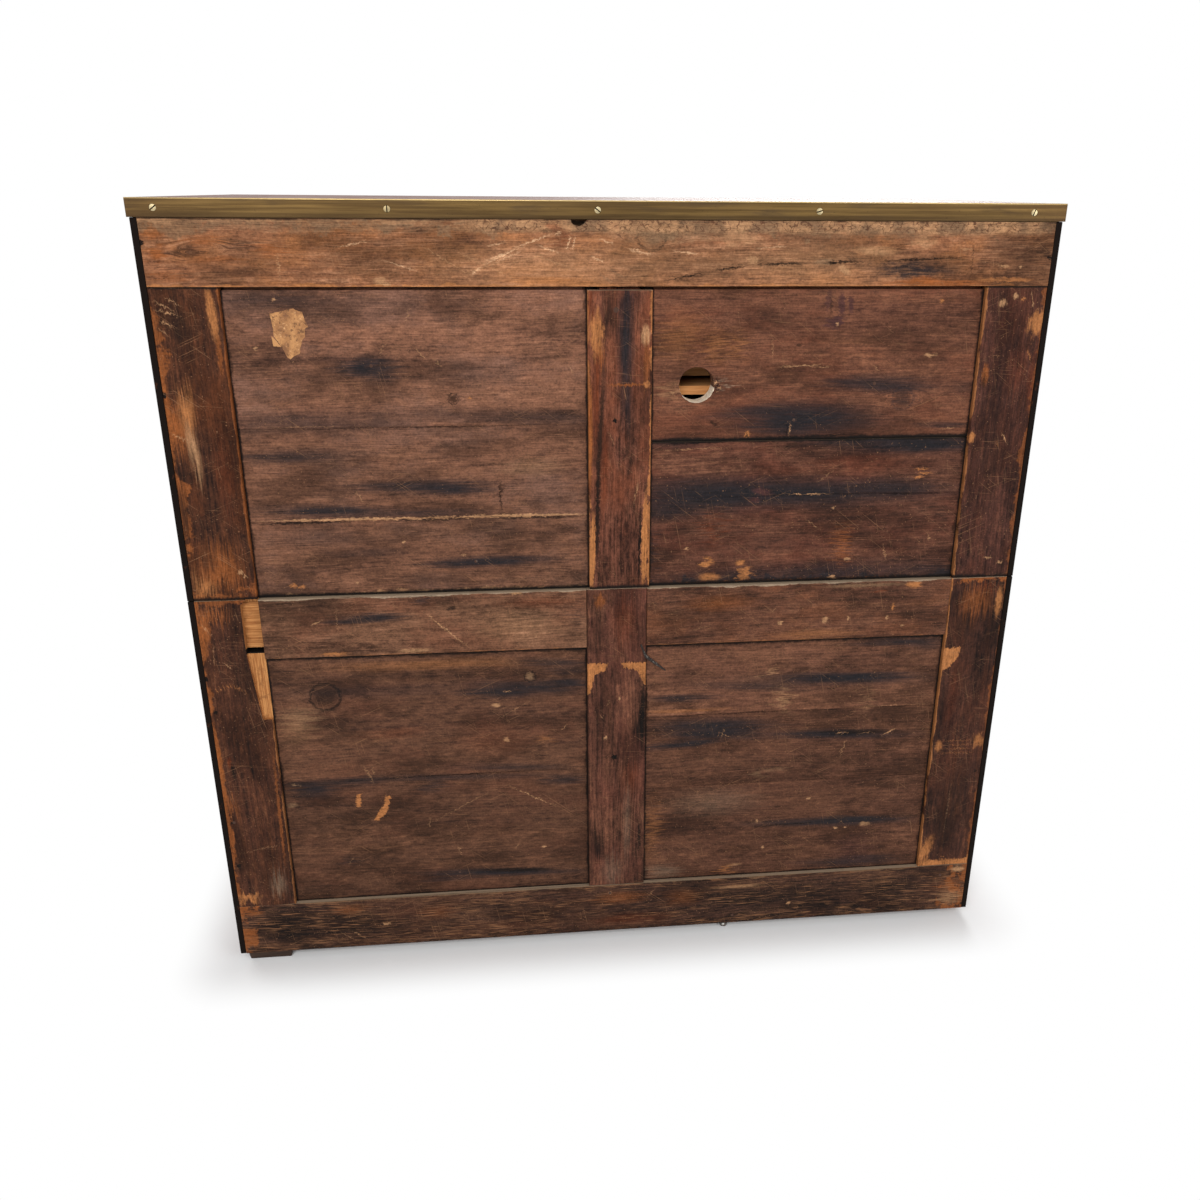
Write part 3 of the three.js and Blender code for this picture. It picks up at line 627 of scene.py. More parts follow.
class PineNet(Net):
    """The net of one pine member, which is painted layer by layer."""

    def __init__(self, pine: OldPine, rect: Rect) -> None:
        """Lays out the boards, their grain and the noise that the layers share.

        Args:
            pine: The member's finish.
            rect: Its visible rectangle.
        """
        super().__init__(bpy.data.materials.new(pine.name))
        self.pine = pine
        self.rect = rect
        self.seed = pine.seed
        self.x, self.y, self.z = self.axes(self.place())
        along, across = self.turned(self.x, self.z)
        board: Wire | float = self.seed
        for joint in pine.joints:
            board = board + (self.z > joint) * 3.7
        start = along + board * 97
        self.plain = self.joined(start, across + board * 41, self.y)
        self.bent = across + self.swing(2 * pine.wander, self.plain, (380, 70, 70), self.seed, 1.0)
        bends = [self.bend(knot) for knot in pine.knots]
        if bends:
            self.bent = self.bent + sum(bends[1:], bends[0])
        self.grain = self.joined(start, self.bent + board * 41, self.y)
        self.fine = self.swing(1.0, self.grain, (38, 1.4, 1.4), self.seed + 1, 4.0, 0.75)
        self.mottle = self.swing(1.0, self.plain, (15, 7, 7), self.seed + 9, 5.0, 0.78)
        self.crumb = self.swing(1.3, self.plain, (5.0, 2.4, 2.4), self.seed + 8, 4.0, 0.7)
        self.places = {
            Edge.STREAKED: self.shaken(self.grain, (60, 2.4, 2.4), 110, 9, 6),
            Edge.TORN: self.shaken(self.plain, (13, 5, 5), 44, 24, 7),
            Edge.CRUMBLED: self.shaken(self.plain, (5.5, 2.6, 2.6), 13, 9, 8),
        }

    def turned(self, x: Any, z: Any) -> tuple[Any, Any]:
        """Puts what belongs to the grain's direction first."""
        return (x, z) if self.pine.grain is Grain.ACROSS else (z, x)

    def bend(self, knot: Knot) -> Wire:
        """Gives how far a knot pushes the grain aside.

        Args:
            knot: The knot.

        Returns:
            The push across the grain, in millimetres.
        """
        along, across = self.turned(self.x - knot.x, self.z - knot.z)
        near = self.joined(along / (knot.radius * 3.2), across / (knot.radius * 1.6), 0.0)
        push = self.smooth(self.vector("LENGTH", near), 0.0, 1.0, 1.0, 0.0)
        side = self.smooth(across, -knot.radius * 0.4, knot.radius * 0.4, 1.0, -1.0)
        return push * side * (knot.radius * 0.85)

    def shaken(self, vector: Wire, sizes: Triple, long: float, short: float, seed: float) -> Wire:
        """Shakes the place about, so that what is drawn there gets a broken edge.

        Args:
            vector: The place that the noise depends on, along the grain first.
            sizes: The size of the noise's lumps.
            long: How far the place moves along the grain, as the noise's gain.
            short: How far it moves across the grain.
            seed: What makes this noise unlike the member's others.

        Returns:
            The shaken place.
        """
        shakes = self.lumps(vector, sizes, (self.seed, seed, seed), 4.0, 0.66, 1)
        reach, height = self.turned(long, short)
        moved = self.scaled(shakes, (reach, 0, height), (-reach / 2, 0, -height / 2))
        return self.vector("ADD", self.place(), moved)

    def painted(self) -> Material:
        """Paints every layer, from the wood outwards, and ends the net.

        Returns:
            The material.
        """
        value = self.wood()
        self.relief = value * 0.4 + self.fine * 0.5
        # Bands of worn stain and dirt, some of them with painted shade from the frame.
        self.wear(self.pine.wear_and_shade_bands)
        self.knots()
        self.damage()
        if self.pine.crazed:
            self.craze(self.pine.crazed)
        self.fibre()
        self.scratch()
        self.dust()
        if self.pine.fresh:
            self.colour = self.pine.fresh.bare(self, self.colour, self.seed)
        # Painted shade: black bands over the member's edges where it lies in shadow, laid over every other layer.
        self.wear(self.pine.gap_shadows)
        rough = self.smooth(value, 0.2, 0.9, self.pine.roughness - 0.1, self.pine.roughness + 0.1)
        looks = {"Base Color": self.colour, "Roughness": rough, "Specular IOR Level": 0.1}
        return self.finish(looks, self.relief, 0.5)

    def wood(self) -> Wire:
        """Paints the stained wood, its rings, its shading and where it is rubbed.

        Returns:
            How light the wood is, from 0 to 1.
        """
        pine, seed = self.pine, self.seed
        wide = self.swing(1.0, self.grain, (460, 46, 46), seed + 3)
        value = self.swing(0.9 * pine.contrast, self.grain, (200, 9, 9), seed + 2, 4.0, 0.65) + wide * pine.contrast
        value = value + self.mottle * (1.2 * pine.contrast)
        if pine.rings:
            phase = (self.bent + wide * 50) * (2 * math.pi / 6.5)
            ring = self.smooth(self.maths("SINE", phase + self.fine * 4), -0.2, 1.0)
            value = value + (0.3 - ring) * (0.34 * pine.rings)
        value = self.held(value + 0.5)
        colour = self.blend(self.smooth(value, 0.12, 0.5), pine.dark, pine.middle)
        colour = self.lay(colour, value, 0.5, 0.95, pine.light)
        patches = self.cloud(self.plain, (120, 60, 60), seed + 4, 5.0, 0.68)
        colour = self.lay(colour, patches, 0.44, 0.66, pine.tint, 0.8)
        shadow = self.smooth(self.cloud(self.plain, (110, 44, 44), seed + 5, 6.0, 0.68), 0.36, 0.58, 0.5, 1.12)
        for joint, below, above in zip(pine.joints, pine.levels, pine.levels[1:]):
            shadow = shadow * ((self.z > joint) * (above / below - 1) + 1)
        colour = self.dimmed(colour, shadow * pine.levels[0] if pine.levels else shadow)
        rub = self.cloud(self.plain, (90, 26, 26), seed + 10, 5.0, 0.7) + self.fine * 0.7
        self.colour = self.lay(colour, rub, 0.54, 0.74, pine.light, pine.rubs)
        return value

    def wear(self, wear_and_shade_bands: Iterable[WearAndShade]) -> None:
        """Paints bands along sides of the member: worn stain, dirt and painted shade.

        Args:
            wear_and_shade_bands: What has come over each side.
        """
        rect = self.rect
        for index, wear in enumerate(wear_and_shade_bands):
            axis, end = wear.side.value
            place, low, high = (self.x, rect.left, rect.right) if axis == "x" else (self.z, rect.bottom, rect.top)
            distance = high - place if end > 0 else place - low
            ragged = self.swing(wear.ragged, self.place(), wear.lump, self.seed + 40 + index, 4.0, 0.68)
            edge = distance / wear.width + ragged + self.crumb * 0.8
            self.colour = self.lay(self.colour, edge, 1.0, 0.3, wear.tone.value, wear.strength)

    def knots(self) -> None:
        """Paints the knots, with a sunk ring round each."""
        for knot in self.pine.knots:
            offset = self.vector("SUBTRACT", self.places[Edge.CRUMBLED], (knot.x, 0, knot.z))
            distance = self.vector("LENGTH", self.vector("MULTIPLY", offset, (1, 0, 1)))
            self.colour = self.lay(
                self.colour, distance, knot.radius, knot.radius * 0.45, knot.heart.value, knot.strength
            )
            rim = self.smooth(abs(distance - knot.radius), 0.0, knot.radius * 0.16, knot.strength, 0.0)
            self.colour = self.blend(rim, self.colour, knot.ring.value)
            self.relief = self.relief - rim * 0.4

    def damage(self) -> None:
        """Paints the stains, chips and scratches that have a place of their own."""
        for mark in self.pine.marks:
            cover = mark.cover(self, self.places)
            self.colour = self.blend(cover, self.colour, mark.tone.value)
            if mark.sink:
                self.relief = self.maths("MULTIPLY_ADD", cover, -mark.sink, self.relief)

    def craze(self, rect: Rect) -> None:
        """Lays old finish that has gone pale between fine cracks.

        Args:
            rect: Where it lies. It fades in over its foot and at its sides.
        """
        cover = self.smooth(self.z + self.crumb * 7, rect.bottom, rect.bottom + 7, 0.0, 0.85) * (self.y > 227.5)
        cover = cover * self.smooth(self.x, rect.left, rect.left + 30)
        cover = cover * self.smooth(self.x, rect.right - 60, rect.right, 1.0, 0.0)
        patches = self.cloud(self.place(), 34, self.seed + 33, 3.0, 0.6)
        pale = self.blend(self.smooth(patches, 0.44, 0.6), PALE.value, ASH.value)
        colour = self.blend(cover * self.smooth(patches, 0.3, 0.46), self.colour, pale)
        cells = abs(self.swing(1.0, self.place(), (9, 9, 7), self.seed + 34, 1.6))
        self.colour = self.blend(cover * self.smooth(cells, 0.0, 0.035, 1.0, 0.0), colour, self.pine.dark)

    def fibre(self) -> None:
        """Lays the wood's fibres, pores and dirt over everything."""
        seed = self.seed
        grit = self.swing(1.5, self.place(), 2.6, seed + 15, 4.0, 0.72)
        level = self.fine * 1.8 + self.mottle * 1.4 + grit + 1.0
        colour = self.dimmed(self.colour, self.maths("MAXIMUM", level, 0.25))
        streaks = self.cloud(self.grain, (15, 0.9, 0.9), seed + 16, 2.0, 0.6)
        colour = self.lay(colour, streaks, 0.6, 0.7, self.pine.dark, 0.65)
        colour = self.lay(colour, self.cloud(self.place(), 2.1, seed + 17, 1.0), 0.7, 0.78, SCRATCH.value, 0.6)
        if self.pine.flecks:
            fleck = self.cloud(self.grain, (30, 1.0, 1.0), seed + 18, 2.0, 0.55)
            where = self.cloud(self.place(), (60, 14, 14), seed + 19, 3.0, 0.65)
            cover = self.smooth(fleck, 0.54, 0.64) * self.smooth(where, 0.4, 0.58, 0.0, self.pine.flecks)
            colour = self.blend(cover, colour, FLECK.value)
        self.colour = colour

    def scratch(self) -> None:
        """Lays fine pale scratches over the face, at several angles."""
        where = self.cloud(self.place(), 44, self.seed + 29, 3.0, 0.6)
        where = self.smooth(where, 0.44, 0.6, 0.0, 0.75 * self.pine.scratches)
        sorts = ((38, 60, 0.85, 21), (-24, 80, 0.8, 22), (78, 66, 0.9, 23), (4, 50, 0.8, 24))
        for angle, length, width, extra in sorts:
            cos, sin = math.cos(math.radians(angle)), math.sin(math.radians(angle))
            along = self.vector("DOT_PRODUCT", self.place(), (cos / length, 0, sin / length))
            across = self.vector("DOT_PRODUCT", self.place(), (-sin / width, 0, cos / width))
            streak = self.cloud(self.joined(along, across, 0.0), 1, self.seed + extra, 1.0)
            self.colour = self.blend(self.smooth(streak, 0.68, 0.76) * where, self.colour, SCRATCH.value)

    def dust(self) -> None:
        """Lays dust on what faces up at the member's top and bottom."""
        _, _, up = self.axes(self.make("NewGeometry", output="True Normal"))
        away = self.maths("MINIMUM", abs(self.z - self.rect.top), abs(self.z - self.rect.bottom))
        cover = self.smooth(up + self.crumb * 0.35, 0.55, 0.85, 0.0, 0.8) * self.smooth(away, 3.0, 6.0, 1.0, 0.0)
        self.colour = self.blend(cover, self.colour, DUST.value)


@dataclass(frozen=True)
class PolishedWood:
    """Polished reddish hardwood, with rear edges that have gone black."""

    name: str
    grain: Grain
    seed: float
    dark: Colour = shade(64, 29, 16)
    light: Colour = shade(126, 65, 35)
    black_from: float | None = None
    polish: float = 0.3

    def dress(self) -> Material:
        """Makes the material.

        Returns:
            The material.
        """
        net = material_net(self.name)
        seed = self.seed
        x, y, z = net.axes(net.place())
        along, across, other = {Grain.ACROSS: (x, z, y), Grain.UP: (z, y, x), Grain.DEEP: (y, x, z)}[self.grain]
        warp = (net.cloud(net.place(), 300, seed, 1.0) - 0.5) * 40
        grain = net.joined(along, across + warp, other)
        value = sheen(net, grain, seed + 1, net.cloud(grain, (90, 34, 34), seed + 3))
        colour = net.blend(value, self.dark, self.light)
        colour = net.blend(
            net.smooth(net.cloud(grain, (55, 0.7, 0.7), seed + 7), 0.56, 0.68) * 0.55, colour, self.dark
        )
        wear = net.cloud(net.place(), 70, seed + 4, 4.0, 0.6)
        colour = net.lay(colour, wear, 0.58, 0.76, shade(46, 22, 13), 0.3)
        scuffs = net.cloud(net.place(), (90, 1.4, 40), seed + 5)
        rough = net.smooth(wear, 0.3, 0.75, 0.34, 0.52) + net.smooth(scuffs, 0.66, 0.74, 0.0, 0.12)
        coat: Wire | float = self.polish
        if self.black_from is not None:
            lump = net.cloud(net.place(), (14, 14, 22), seed + 6, 4.0, 0.66) - 0.5
            black = net.smooth(y + lump * 9, self.black_from - 6, self.black_from + 1)
            edge = net.blend(net.smooth(lump, 0.13, 0.2, 0.0, 0.6), shade(20, 14, 11), shade(66, 38, 24))
            colour = net.blend(black, colour, edge)
            rough = net.smooth(black, 0.0, 1.0, 0.4, 0.72)
            coat = net.smooth(black, 0.0, 1.0, self.polish, 0.0)
        inputs = {"Base Color": colour, "Roughness": rough, "Coat Weight": coat, "Coat Roughness": 0.22}
        return net.finish({**inputs, "Specular IOR Level": 0.06}, value, 0.06)


def sheen(net: Net, grain: Wire, seed: float, ribbon: Wire | None = None) -> Wire:
    """Gives the light and dark of polished hardwood.

    Args:
        net: The wood's net.
        grain: The place in the grain, along it first.
        seed: The seed of the pores. The figure has the next one.
        ribbon: The noise of broad bands, where there are some.

    Returns:
        How light the wood is, from 0 to 1.
    """
    pores = net.cloud(grain, (22, 0.8, 0.8), seed, 2.0, 0.6)
    figure = net.cloud(grain, (260, 12, 12), seed + 1, 3.0, 0.55)
    value = (pores - 0.5) * 0.9 + (figure - 0.5) * 1.5
    return net.held((value + (ribbon - 0.5) * 0.7 if ribbon else value) + 0.5)


@dataclass(frozen=True)
class BareWood:
    """Unpolished wood inside the chest.

    The front has a polished lipping where there is one, and the grain turns at a drawer's back board.
    """

    name: str
    grain: Grain
    seed: float
    dark: Colour = shade(126, 80, 46)
    light: Colour = shade(194, 144, 94)
    lipping: float | None = None
    turned: float | None = None

    def dress(self) -> Material:
        """Makes the material.

        Returns:
            The material.
        """
        net = material_net(self.name)
        seed = self.seed
        x, y, z = net.axes(net.place())
        along, across, other = {Grain.ACROSS: (x, z, y), Grain.UP: (z, y, x), Grain.DEEP: (y, x, z)}[self.grain]
        if self.turned is not None:
            back = y > self.turned
            along, across = along + (across - along) * back, across + (along - across) * back
        warp = (net.cloud(net.place(), 240, seed, 1.0) - 0.5) * 50
        grain = net.joined(along, across + warp, other + warp)
        fine = net.cloud(grain, (70, 1.6, 1.6), seed + 1, 3.0, 0.6)
        bands = net.cloud(grain, (400, 8, 8), seed + 2)
        value = net.held((fine - 0.5) * 0.9 + (bands - 0.5) * 1.6 + 0.5)
        colour = net.blend(value, self.dark, self.light)
        colour = net.lay(colour, net.cloud(net.place(), 110, seed + 3, 4.0, 0.6), 0.5, 0.72, shade(84, 60, 38), 0.45)
        rough: Wire | float = 0.78
        coat: Wire | float = 0.0
        if self.lipping is not None:
            front = y < self.lipping
            shine = net.blend(sheen(net, grain, seed + 4), PolishedWood.dark, PolishedWood.light)
            colour = net.blend(front, colour, shine)
            rough = net.smooth(front, 0.0, 1.0, 0.78, 0.42)
            coat = front * PolishedWood.polish
        inputs = {"Base Color": colour, "Roughness": rough, "Coat Weight": coat, "Coat Roughness": 0.25}
        return net.finish({**inputs, "Specular IOR Level": 0.15}, fine, 0.12)


@dataclass(frozen=True)
class AgedBrass:
    """Old brass: rubbed bright where it is touched, brown and olive elsewhere. A strip's top arris is rubbed bright and
    carries a painted highlight.
    """

    name: str
    seed: float
    bright: Colour = shade(113, 89, 52)
    dull: Colour = shade(82, 63, 37)
    brown: Colour = shade(62, 47, 31)
    strip: tuple[float, float] | None = None
    dark_ends: float | None = None

    def dress(self) -> Material:
        """Makes the material.

        Returns:
            The material.
        """
        net = material_net(self.name)
        x, y, z = net.axes(net.place())
        streaks = net.cloud(net.place(), (160, 160, 3.2) if self.strip else 12, self.seed, 3.0, 0.55)
        cloud = net.cloud(net.place(), (90, 90, 14) if self.strip else (34, 34, 20), self.seed + 1, 4.0, 0.6)
        fine = net.cloud(net.place(), (26, 26, 0.6) if self.strip else 3, self.seed + 2, 3.0, 0.6)
        colour = net.blend(net.smooth(streaks, 0.34, 0.66), self.dull, self.bright)
        colour = net.lay(colour, cloud, 0.5, 0.74, self.brown, 0.6)
        colour = net.dimmed(colour, (fine - 0.5) * 0.5 + 1.0)
        if self.strip:
            low, high = self.strip
            colour = net.lay(colour, z + (cloud - 0.5) * 5, low + 8.5, low, self.brown, 0.7)
            colour = net.lay(colour, z + (cloud - 0.5) * 4, high - 8, high - 1.5, shade(78, 60, 38), 0.4)
            # A bright line along the top arris: brass rubbed bright there, with a painted highlight.
            colour = net.lay(colour, z, high - 1.5, high - 0.5, shade(188, 162, 110))
        if self.dark_ends is not None:
            ends = net.smooth(abs(x) + (cloud - 0.5) * 90, self.dark_ends, self.dark_ends + 130)
            colour = net.blend(ends * 0.45, colour, shade(72, 52, 34))
        specks = net.cloud(net.place(), 2.6, self.seed + 3, 2.0, 0.6)
        colour = net.lay(colour, specks, 0.68, 0.74, shade(52, 42, 28), 0.5)
        rough = net.smooth(cloud, 0.35, 0.7, 0.34, 0.55)
        metal = net.smooth(cloud, 0.5, 0.75, 0.95, 0.8)
        return net.finish({"Base Color": colour, "Roughness": rough, "Metallic": metal}, fine, 0.035)


@dataclass(frozen=True)
class OldIron:
    """Iron and steel with brown rust on it."""

    name: str
    seed: float
    clean: Colour = shade(120, 118, 114)
    rust: Colour = shade(66, 40, 26)
    rusty: float = 0.5

    def dress(self) -> Material:
        """Makes the material.

        Returns:
            The material.
        """
        net = material_net(self.name)
        cloud = net.cloud(net.place(), 3.5, self.seed, 4.0, 0.65)
        cover = net.smooth(cloud, 0.62 - self.rusty * 0.5, 0.78 - self.rusty * 0.5)
        inputs = {
            "Base Color": net.blend(cover, self.clean, self.rust),
            "Roughness": net.smooth(cover, 0.0, 1.0, 0.38, 0.85),
            "Metallic": net.smooth(cover, 0.0, 1.0, 1.0, 0.1),
        }
        return net.finish(inputs, cloud, 0.12)


@dataclass(frozen=True)
class OldPaper:
    """A blank scrap of old pasted paper, brown with age."""

    name: str
    seed: float

    def dress(self) -> Material:
        """Makes the material.

        Returns:
            The material.
        """
        net = material_net(self.name)
        blotch = net.cloud(net.place(), 14, self.seed, 4.0, 0.62)
        fibre = net.cloud(net.place(), 1.6, self.seed + 1, 3.0, 0.6)
        foxing = net.cloud(net.place(), 3.2, self.seed + 2, 3.0, 0.6)
        colour = net.blend(net.smooth(blotch, 0.36, 0.6), shade(186, 134, 84), shade(148, 101, 62))
        colour = net.lay(colour, foxing, 0.54, 0.66, shade(92, 60, 38), 0.8)
        colour = net.lay(colour, foxing, 0.4, 0.28, shade(226, 178, 128), 0.6)
        colour = net.lay(colour, blotch, 0.54, 0.66, shade(120, 80, 52), 0.85)
        colour = net.lay(colour, fibre, 0.6, 0.7, shade(120, 84, 58), 0.5)
        return net.finish({"Base Color": colour, "Roughness": 0.9}, fibre, 0.1)


def finished(mesh: Mesh, name: str, material: Material, angle: float = 35.0) -> Object:
    """Turns a mesh into an object.

    Args:
        mesh: The mesh, in metres. It is freed.
        name: Its name.
        material: Its finish.
        angle: Edges sharper than this, in degrees, stay sharp.

    Returns:
        The object.
    """
    mesh.normal_update()
    bmesh.ops.recalc_face_normals(mesh, faces=mesh.faces)
    data = bpy.data.meshes.new(name)
    mesh.to_mesh(data)
    mesh.free()
    data.shade_smooth()
    data.set_sharp_from_angle(angle=math.radians(angle))
    for face in data.polygons:
        face.use_smooth = face.area < LARGE_FACE
    data.materials.append(material)
    thing = bpy.data.objects.new(name, data)
    bpy.context.scene.collection.objects.link(thing)
    return thing


def merged(source: Object) -> Mesh:
    """Copies a solid's mesh, with its corners joined and its flat faces whole.

    Args:
        source: The solid.

    Returns:
        The mesh.
    """
    mesh = bmesh.new()
    mesh.from_mesh(source.data)
    bmesh.ops.remove_doubles(mesh, verts=mesh.verts, dist=0.01 * MM)
    bmesh.ops.dissolve_limit(mesh, angle_limit=math.radians(0.5), verts=mesh.verts, edges=mesh.edges)
    return mesh


def prism(points: Sequence[Point], depths: tuple[float, float]) -> Mesh:
    """Extrudes an outline in X and Z along Y.

    Args:
        points: The outline.
        depths: The two ends along Y.

    Returns:
        The closed mesh.
    """
    mesh = bmesh.new()
    near, far = ([mesh.verts.new((x * MM, y * MM, z * MM)) for x, z in points] for y in depths)
    mesh.faces.new(near)
    mesh.faces.new(far[::-1])
    for index in range(len(points)):
        after = (index + 1) % len(points)
        mesh.faces.new((near[index], far[index], far[after], near[after]))
    bmesh.ops.recalc_face_normals(mesh, faces=mesh.faces)
    return mesh


def spun(profile: Sequence[Point], centre: Triple, facing: Vector, sides: int = 24) -> Mesh:
    """Turns a profile about an axis.

    Args:
        profile: Radius and height of each point, from axis to axis.
        centre: Where height 0 is.
        facing: The direction of the axis.
        sides: How many sides the form has.

    Returns:
        The closed mesh.
    """
    mesh = bmesh.new()
    rings: list[list[bmesh.types.BMVert]] = []
    for radius, height in profile:
        count = sides if radius > 0 else 1
        turns = [2 * math.pi * index / sides for index in range(count)]
        spots = ((radius * math.cos(turn) * MM, radius * math.sin(turn) * MM, height * MM) for turn in turns)
        rings.append([mesh.verts.new(spot) for spot in spots])
    for low, high in zip(rings, rings[1:]):
        for index in range(sides):
            after = (index + 1) % sides
            quad = ((low, index), (low, after), (high, after), (high, index))
            corners = [ring[step % len(ring)] for ring, step in quad]
            unique = list(dict.fromkeys(corners))
            if len(unique) > 2:
                mesh.faces.new(unique)
    bmesh.ops.recalc_face_normals(mesh, faces=mesh.faces)
    mesh.transform(facing_place(centre, facing))
    return mesh


def facing_place(centre: Sequence[float], facing: Vector) -> Matrix:
    """Gives the move that turns what faces up to face elsewhere, at a centre."""
    turn = Vector((0, 0, 1)).rotation_difference(facing).to_matrix().to_4x4()
    return Matrix.Translation(Vector(centre) * MM) @ turn


def carved(mesh: Mesh, cutters: Iterable[Mesh], operation: str = "DIFFERENCE") -> Mesh:
    """Cuts a mesh with others, or keeps what it shares with one.

    Args:
        mesh: The mesh. It is freed.
        cutters: The others. They are freed.
        operation: What is done.

    Returns:
        The cut mesh.
    """
    things: list[Object] = []
    for part in (mesh, *cutters):
        data = bpy.data.meshes.new("offcut")
        part.to_mesh(data)
        part.free()
        thing = bpy.data.objects.new("offcut", data)
        bpy.context.scene.collection.objects.link(thing)
        things.append(thing)
    body, *tools = things
    for tool in tools:
        modifier = body.modifiers.new("cut", "BOOLEAN")
        modifier.operation = operation
        modifier.solver = "EXACT"
        modifier.object = tool
    bpy.context.view_layer.update()
    result = bmesh.new()
    result.from_object(body, bpy.context.evaluated_depsgraph_get())
    for thing in things:
        data = thing.data
        bpy.data.objects.remove(thing)
        bpy.data.meshes.remove(data)
    bmesh.ops.remove_doubles(result, verts=result.verts, dist=0.005 * MM)
    bmesh.ops.dissolve_degenerate(result, dist=0.02 * MM, edges=result.edges)
    bmesh.ops.dissolve_limit(result, angle_limit=math.radians(0.5), verts=result.verts, edges=result.edges)
    bmesh.ops.dissolve_limit(result, angle_limit=math.radians(0.3), verts=result.verts, edges=result.edges)
    return result


def softened(mesh: Mesh, radius: float, segments: int = 2, limit: float = 50.0) -> Mesh:
    """Rounds the sharp edges of a mesh.

    Args:
        mesh: The mesh.
        radius: The rounding.
        segments: Its number of steps.
        limit: Edges blunter than this, in degrees, stay.

    Returns:
        The same mesh.
    """
    sharp = [e for e in mesh.edges if e.is_manifold and e.calc_face_angle() > math.radians(limit)]
    rounding = {"offset": radius * MM, "segments": segments, "profile": 0.5}
    bmesh.ops.bevel(mesh, geom=sharp, **rounding, affect="EDGES", clamp_overlap=True)
    return mesh


def rounded_rectangle(x: float, z: float, width: float, height: float, corner: float, steps: int = 5) -> list[Point]:
    """Draws a rectangle with round corners.

    Args:
        x: The middle's X.
        z: The middle's Z.
        width: The width.
        height: The height.
        corner: The corners' radius.
        steps: The number of sides of each corner.

    Returns:
        The outline.
    """
    points: list[Point] = []
    for quarter, (across, up) in enumerate(((1, 1), (-1, 1), (-1, -1), (1, -1))):
        centre = (x + across * (width / 2 - corner), z + up * (height / 2 - corner))
        for step in range(steps + 1):
            turn = (quarter + step / steps) * math.pi / 2
            points.append((centre[0] + corner * math.cos(turn), centre[1] + corner * math.sin(turn)))
    return points


SLOT_WIDTH = 0.38
SLOT_DEPTH = 1.5
_HEADS: dict[float, Mesh] = {}


def slotted_head(centre: Triple, facing: Vector, radius: float, turn: float) -> Mesh:
    """Builds the head of a countersunk screw, whose slot has the second material.

    Args:
        centre: The middle of its face.
        facing: The direction that it faces.
        radius: Its radius.
        turn: How far the slot is turned, in degrees.

    Returns:
        The mesh.
    """
    if radius not in _HEADS:
        cone = [(0, -2.2), (radius * 0.5, -2.2), (radius * 0.97, -0.5)]
        profile = [*cone, (radius, -0.25), (radius * 0.6, -0.06), (0, 0)]
        slot = bmesh.new()
        sizes = (2.4 * radius * MM, SLOT_WIDTH * radius * MM, 2 * SLOT_DEPTH * MM, 1)
        bmesh.ops.create_cube(slot, size=1.0, matrix=Matrix.Diagonal(sizes))
        _HEADS[radius] = carved(spun(profile, (0, 0, 0), Vector((0, 0, 1)), 28), [slot])
        # The slot's faces take the second material, which paints them dark: dirt together with painted shade.
        for face in _HEADS[radius].faces:
            middle = face.calc_center_median() / MM
            face.material_index = int(-1.9 < middle.z < -0.3 and middle.xy.length < 0.9 * radius)
    head = _HEADS[radius].copy()
    head.transform(facing_place(centre, facing) @ Matrix.Rotation(math.radians(turn), 4, "Z"))
    return head


def worn_arrises(mesh: Mesh, face: float, radius: float, seed: float, wear: float) -> None:
    """Rounds the arrises round a member's face and knocks them about.

    Args:
        mesh: The member's mesh, which is changed.
        face: Where the face is along Y.
        radius: The rounding.
        seed: The member's seed.
        wear: The depth of the deepest knocks.
    """

    def on_face(edge: bmesh.types.BMEdge) -> bool:
        """Tells whether a sharp edge lies in the face."""
        flat = all(abs(vert.co.y - face * MM) < 0.02 * MM for vert in edge.verts)
        return flat and edge.is_manifold and edge.calc_face_angle() > math.radians(60)

    for edge in [edge for edge in mesh.edges if on_face(edge)]:
        cuts = int(edge.calc_length() / MM / 7)
        if cuts:
            bmesh.ops.subdivide_edges(mesh, edges=[edge], cuts=cuts)
    rim = [edge for edge in mesh.edges if on_face(edge)]
    rounding = {"offset": radius * MM, "segments": 2, "profile": 0.5}
    result = bmesh.ops.bevel(mesh, geom=rim, **rounding, affect="EDGES", clamp_overlap=True)
    mesh.normal_update()
    for vert in result["verts"]:
        below = face - vert.co.y / MM
        if not 0.05 < below < radius - 0.05:
            continue
        place = vert.co / MM
        knock = noise.noise(place / 34 + Vector((seed, 0, 0))) + 0.6 * noise.noise(place / 7 + Vector((0, seed, 0)))
        vert.co -= vert.normal * max(0.0, knock) * wear * MM


def ragged_joint(mesh: Mesh, height: float, seed: float, reach: float = 1.4) -> None:
    """Makes the straight joint between two boards wander.

    Args:
        mesh: The panel's mesh, which is changed.
        height: The joint's height.
        seed: The joint's seed.
        reach: How far it wanders.
    """

    def near(vert: bmesh.types.BMVert) -> bool:
        """Tells whether a corner belongs to the joint."""
        return abs(vert.co.z / MM - height) < 1.2 and vert.co.y / MM > 220.5

    long = [e for e in mesh.edges if near(e.verts[0]) and near(e.verts[1]) and e.calc_length() > 20 * MM]
    if long:
        bmesh.ops.subdivide_edges(mesh, edges=long, cuts=int(long[0].calc_length() / MM / 5), use_grid_fill=True)
    for vert in [vert for vert in mesh.verts if near(vert)]:
        x = vert.co.x / MM
        wander = noise.noise(Vector((x / 90, seed, 0))) + 0.35 * noise.noise(Vector((x / 9, seed, 4)))
        side = math.copysign(1, vert.co.z / MM - height) if abs(vert.co.z / MM - height) > 0.3 else 0
        gape = 0.5 * noise.noise(Vector((x / 22, seed + 9, side))) * side
        vert.co.z += (wander * reach + gape) * MM


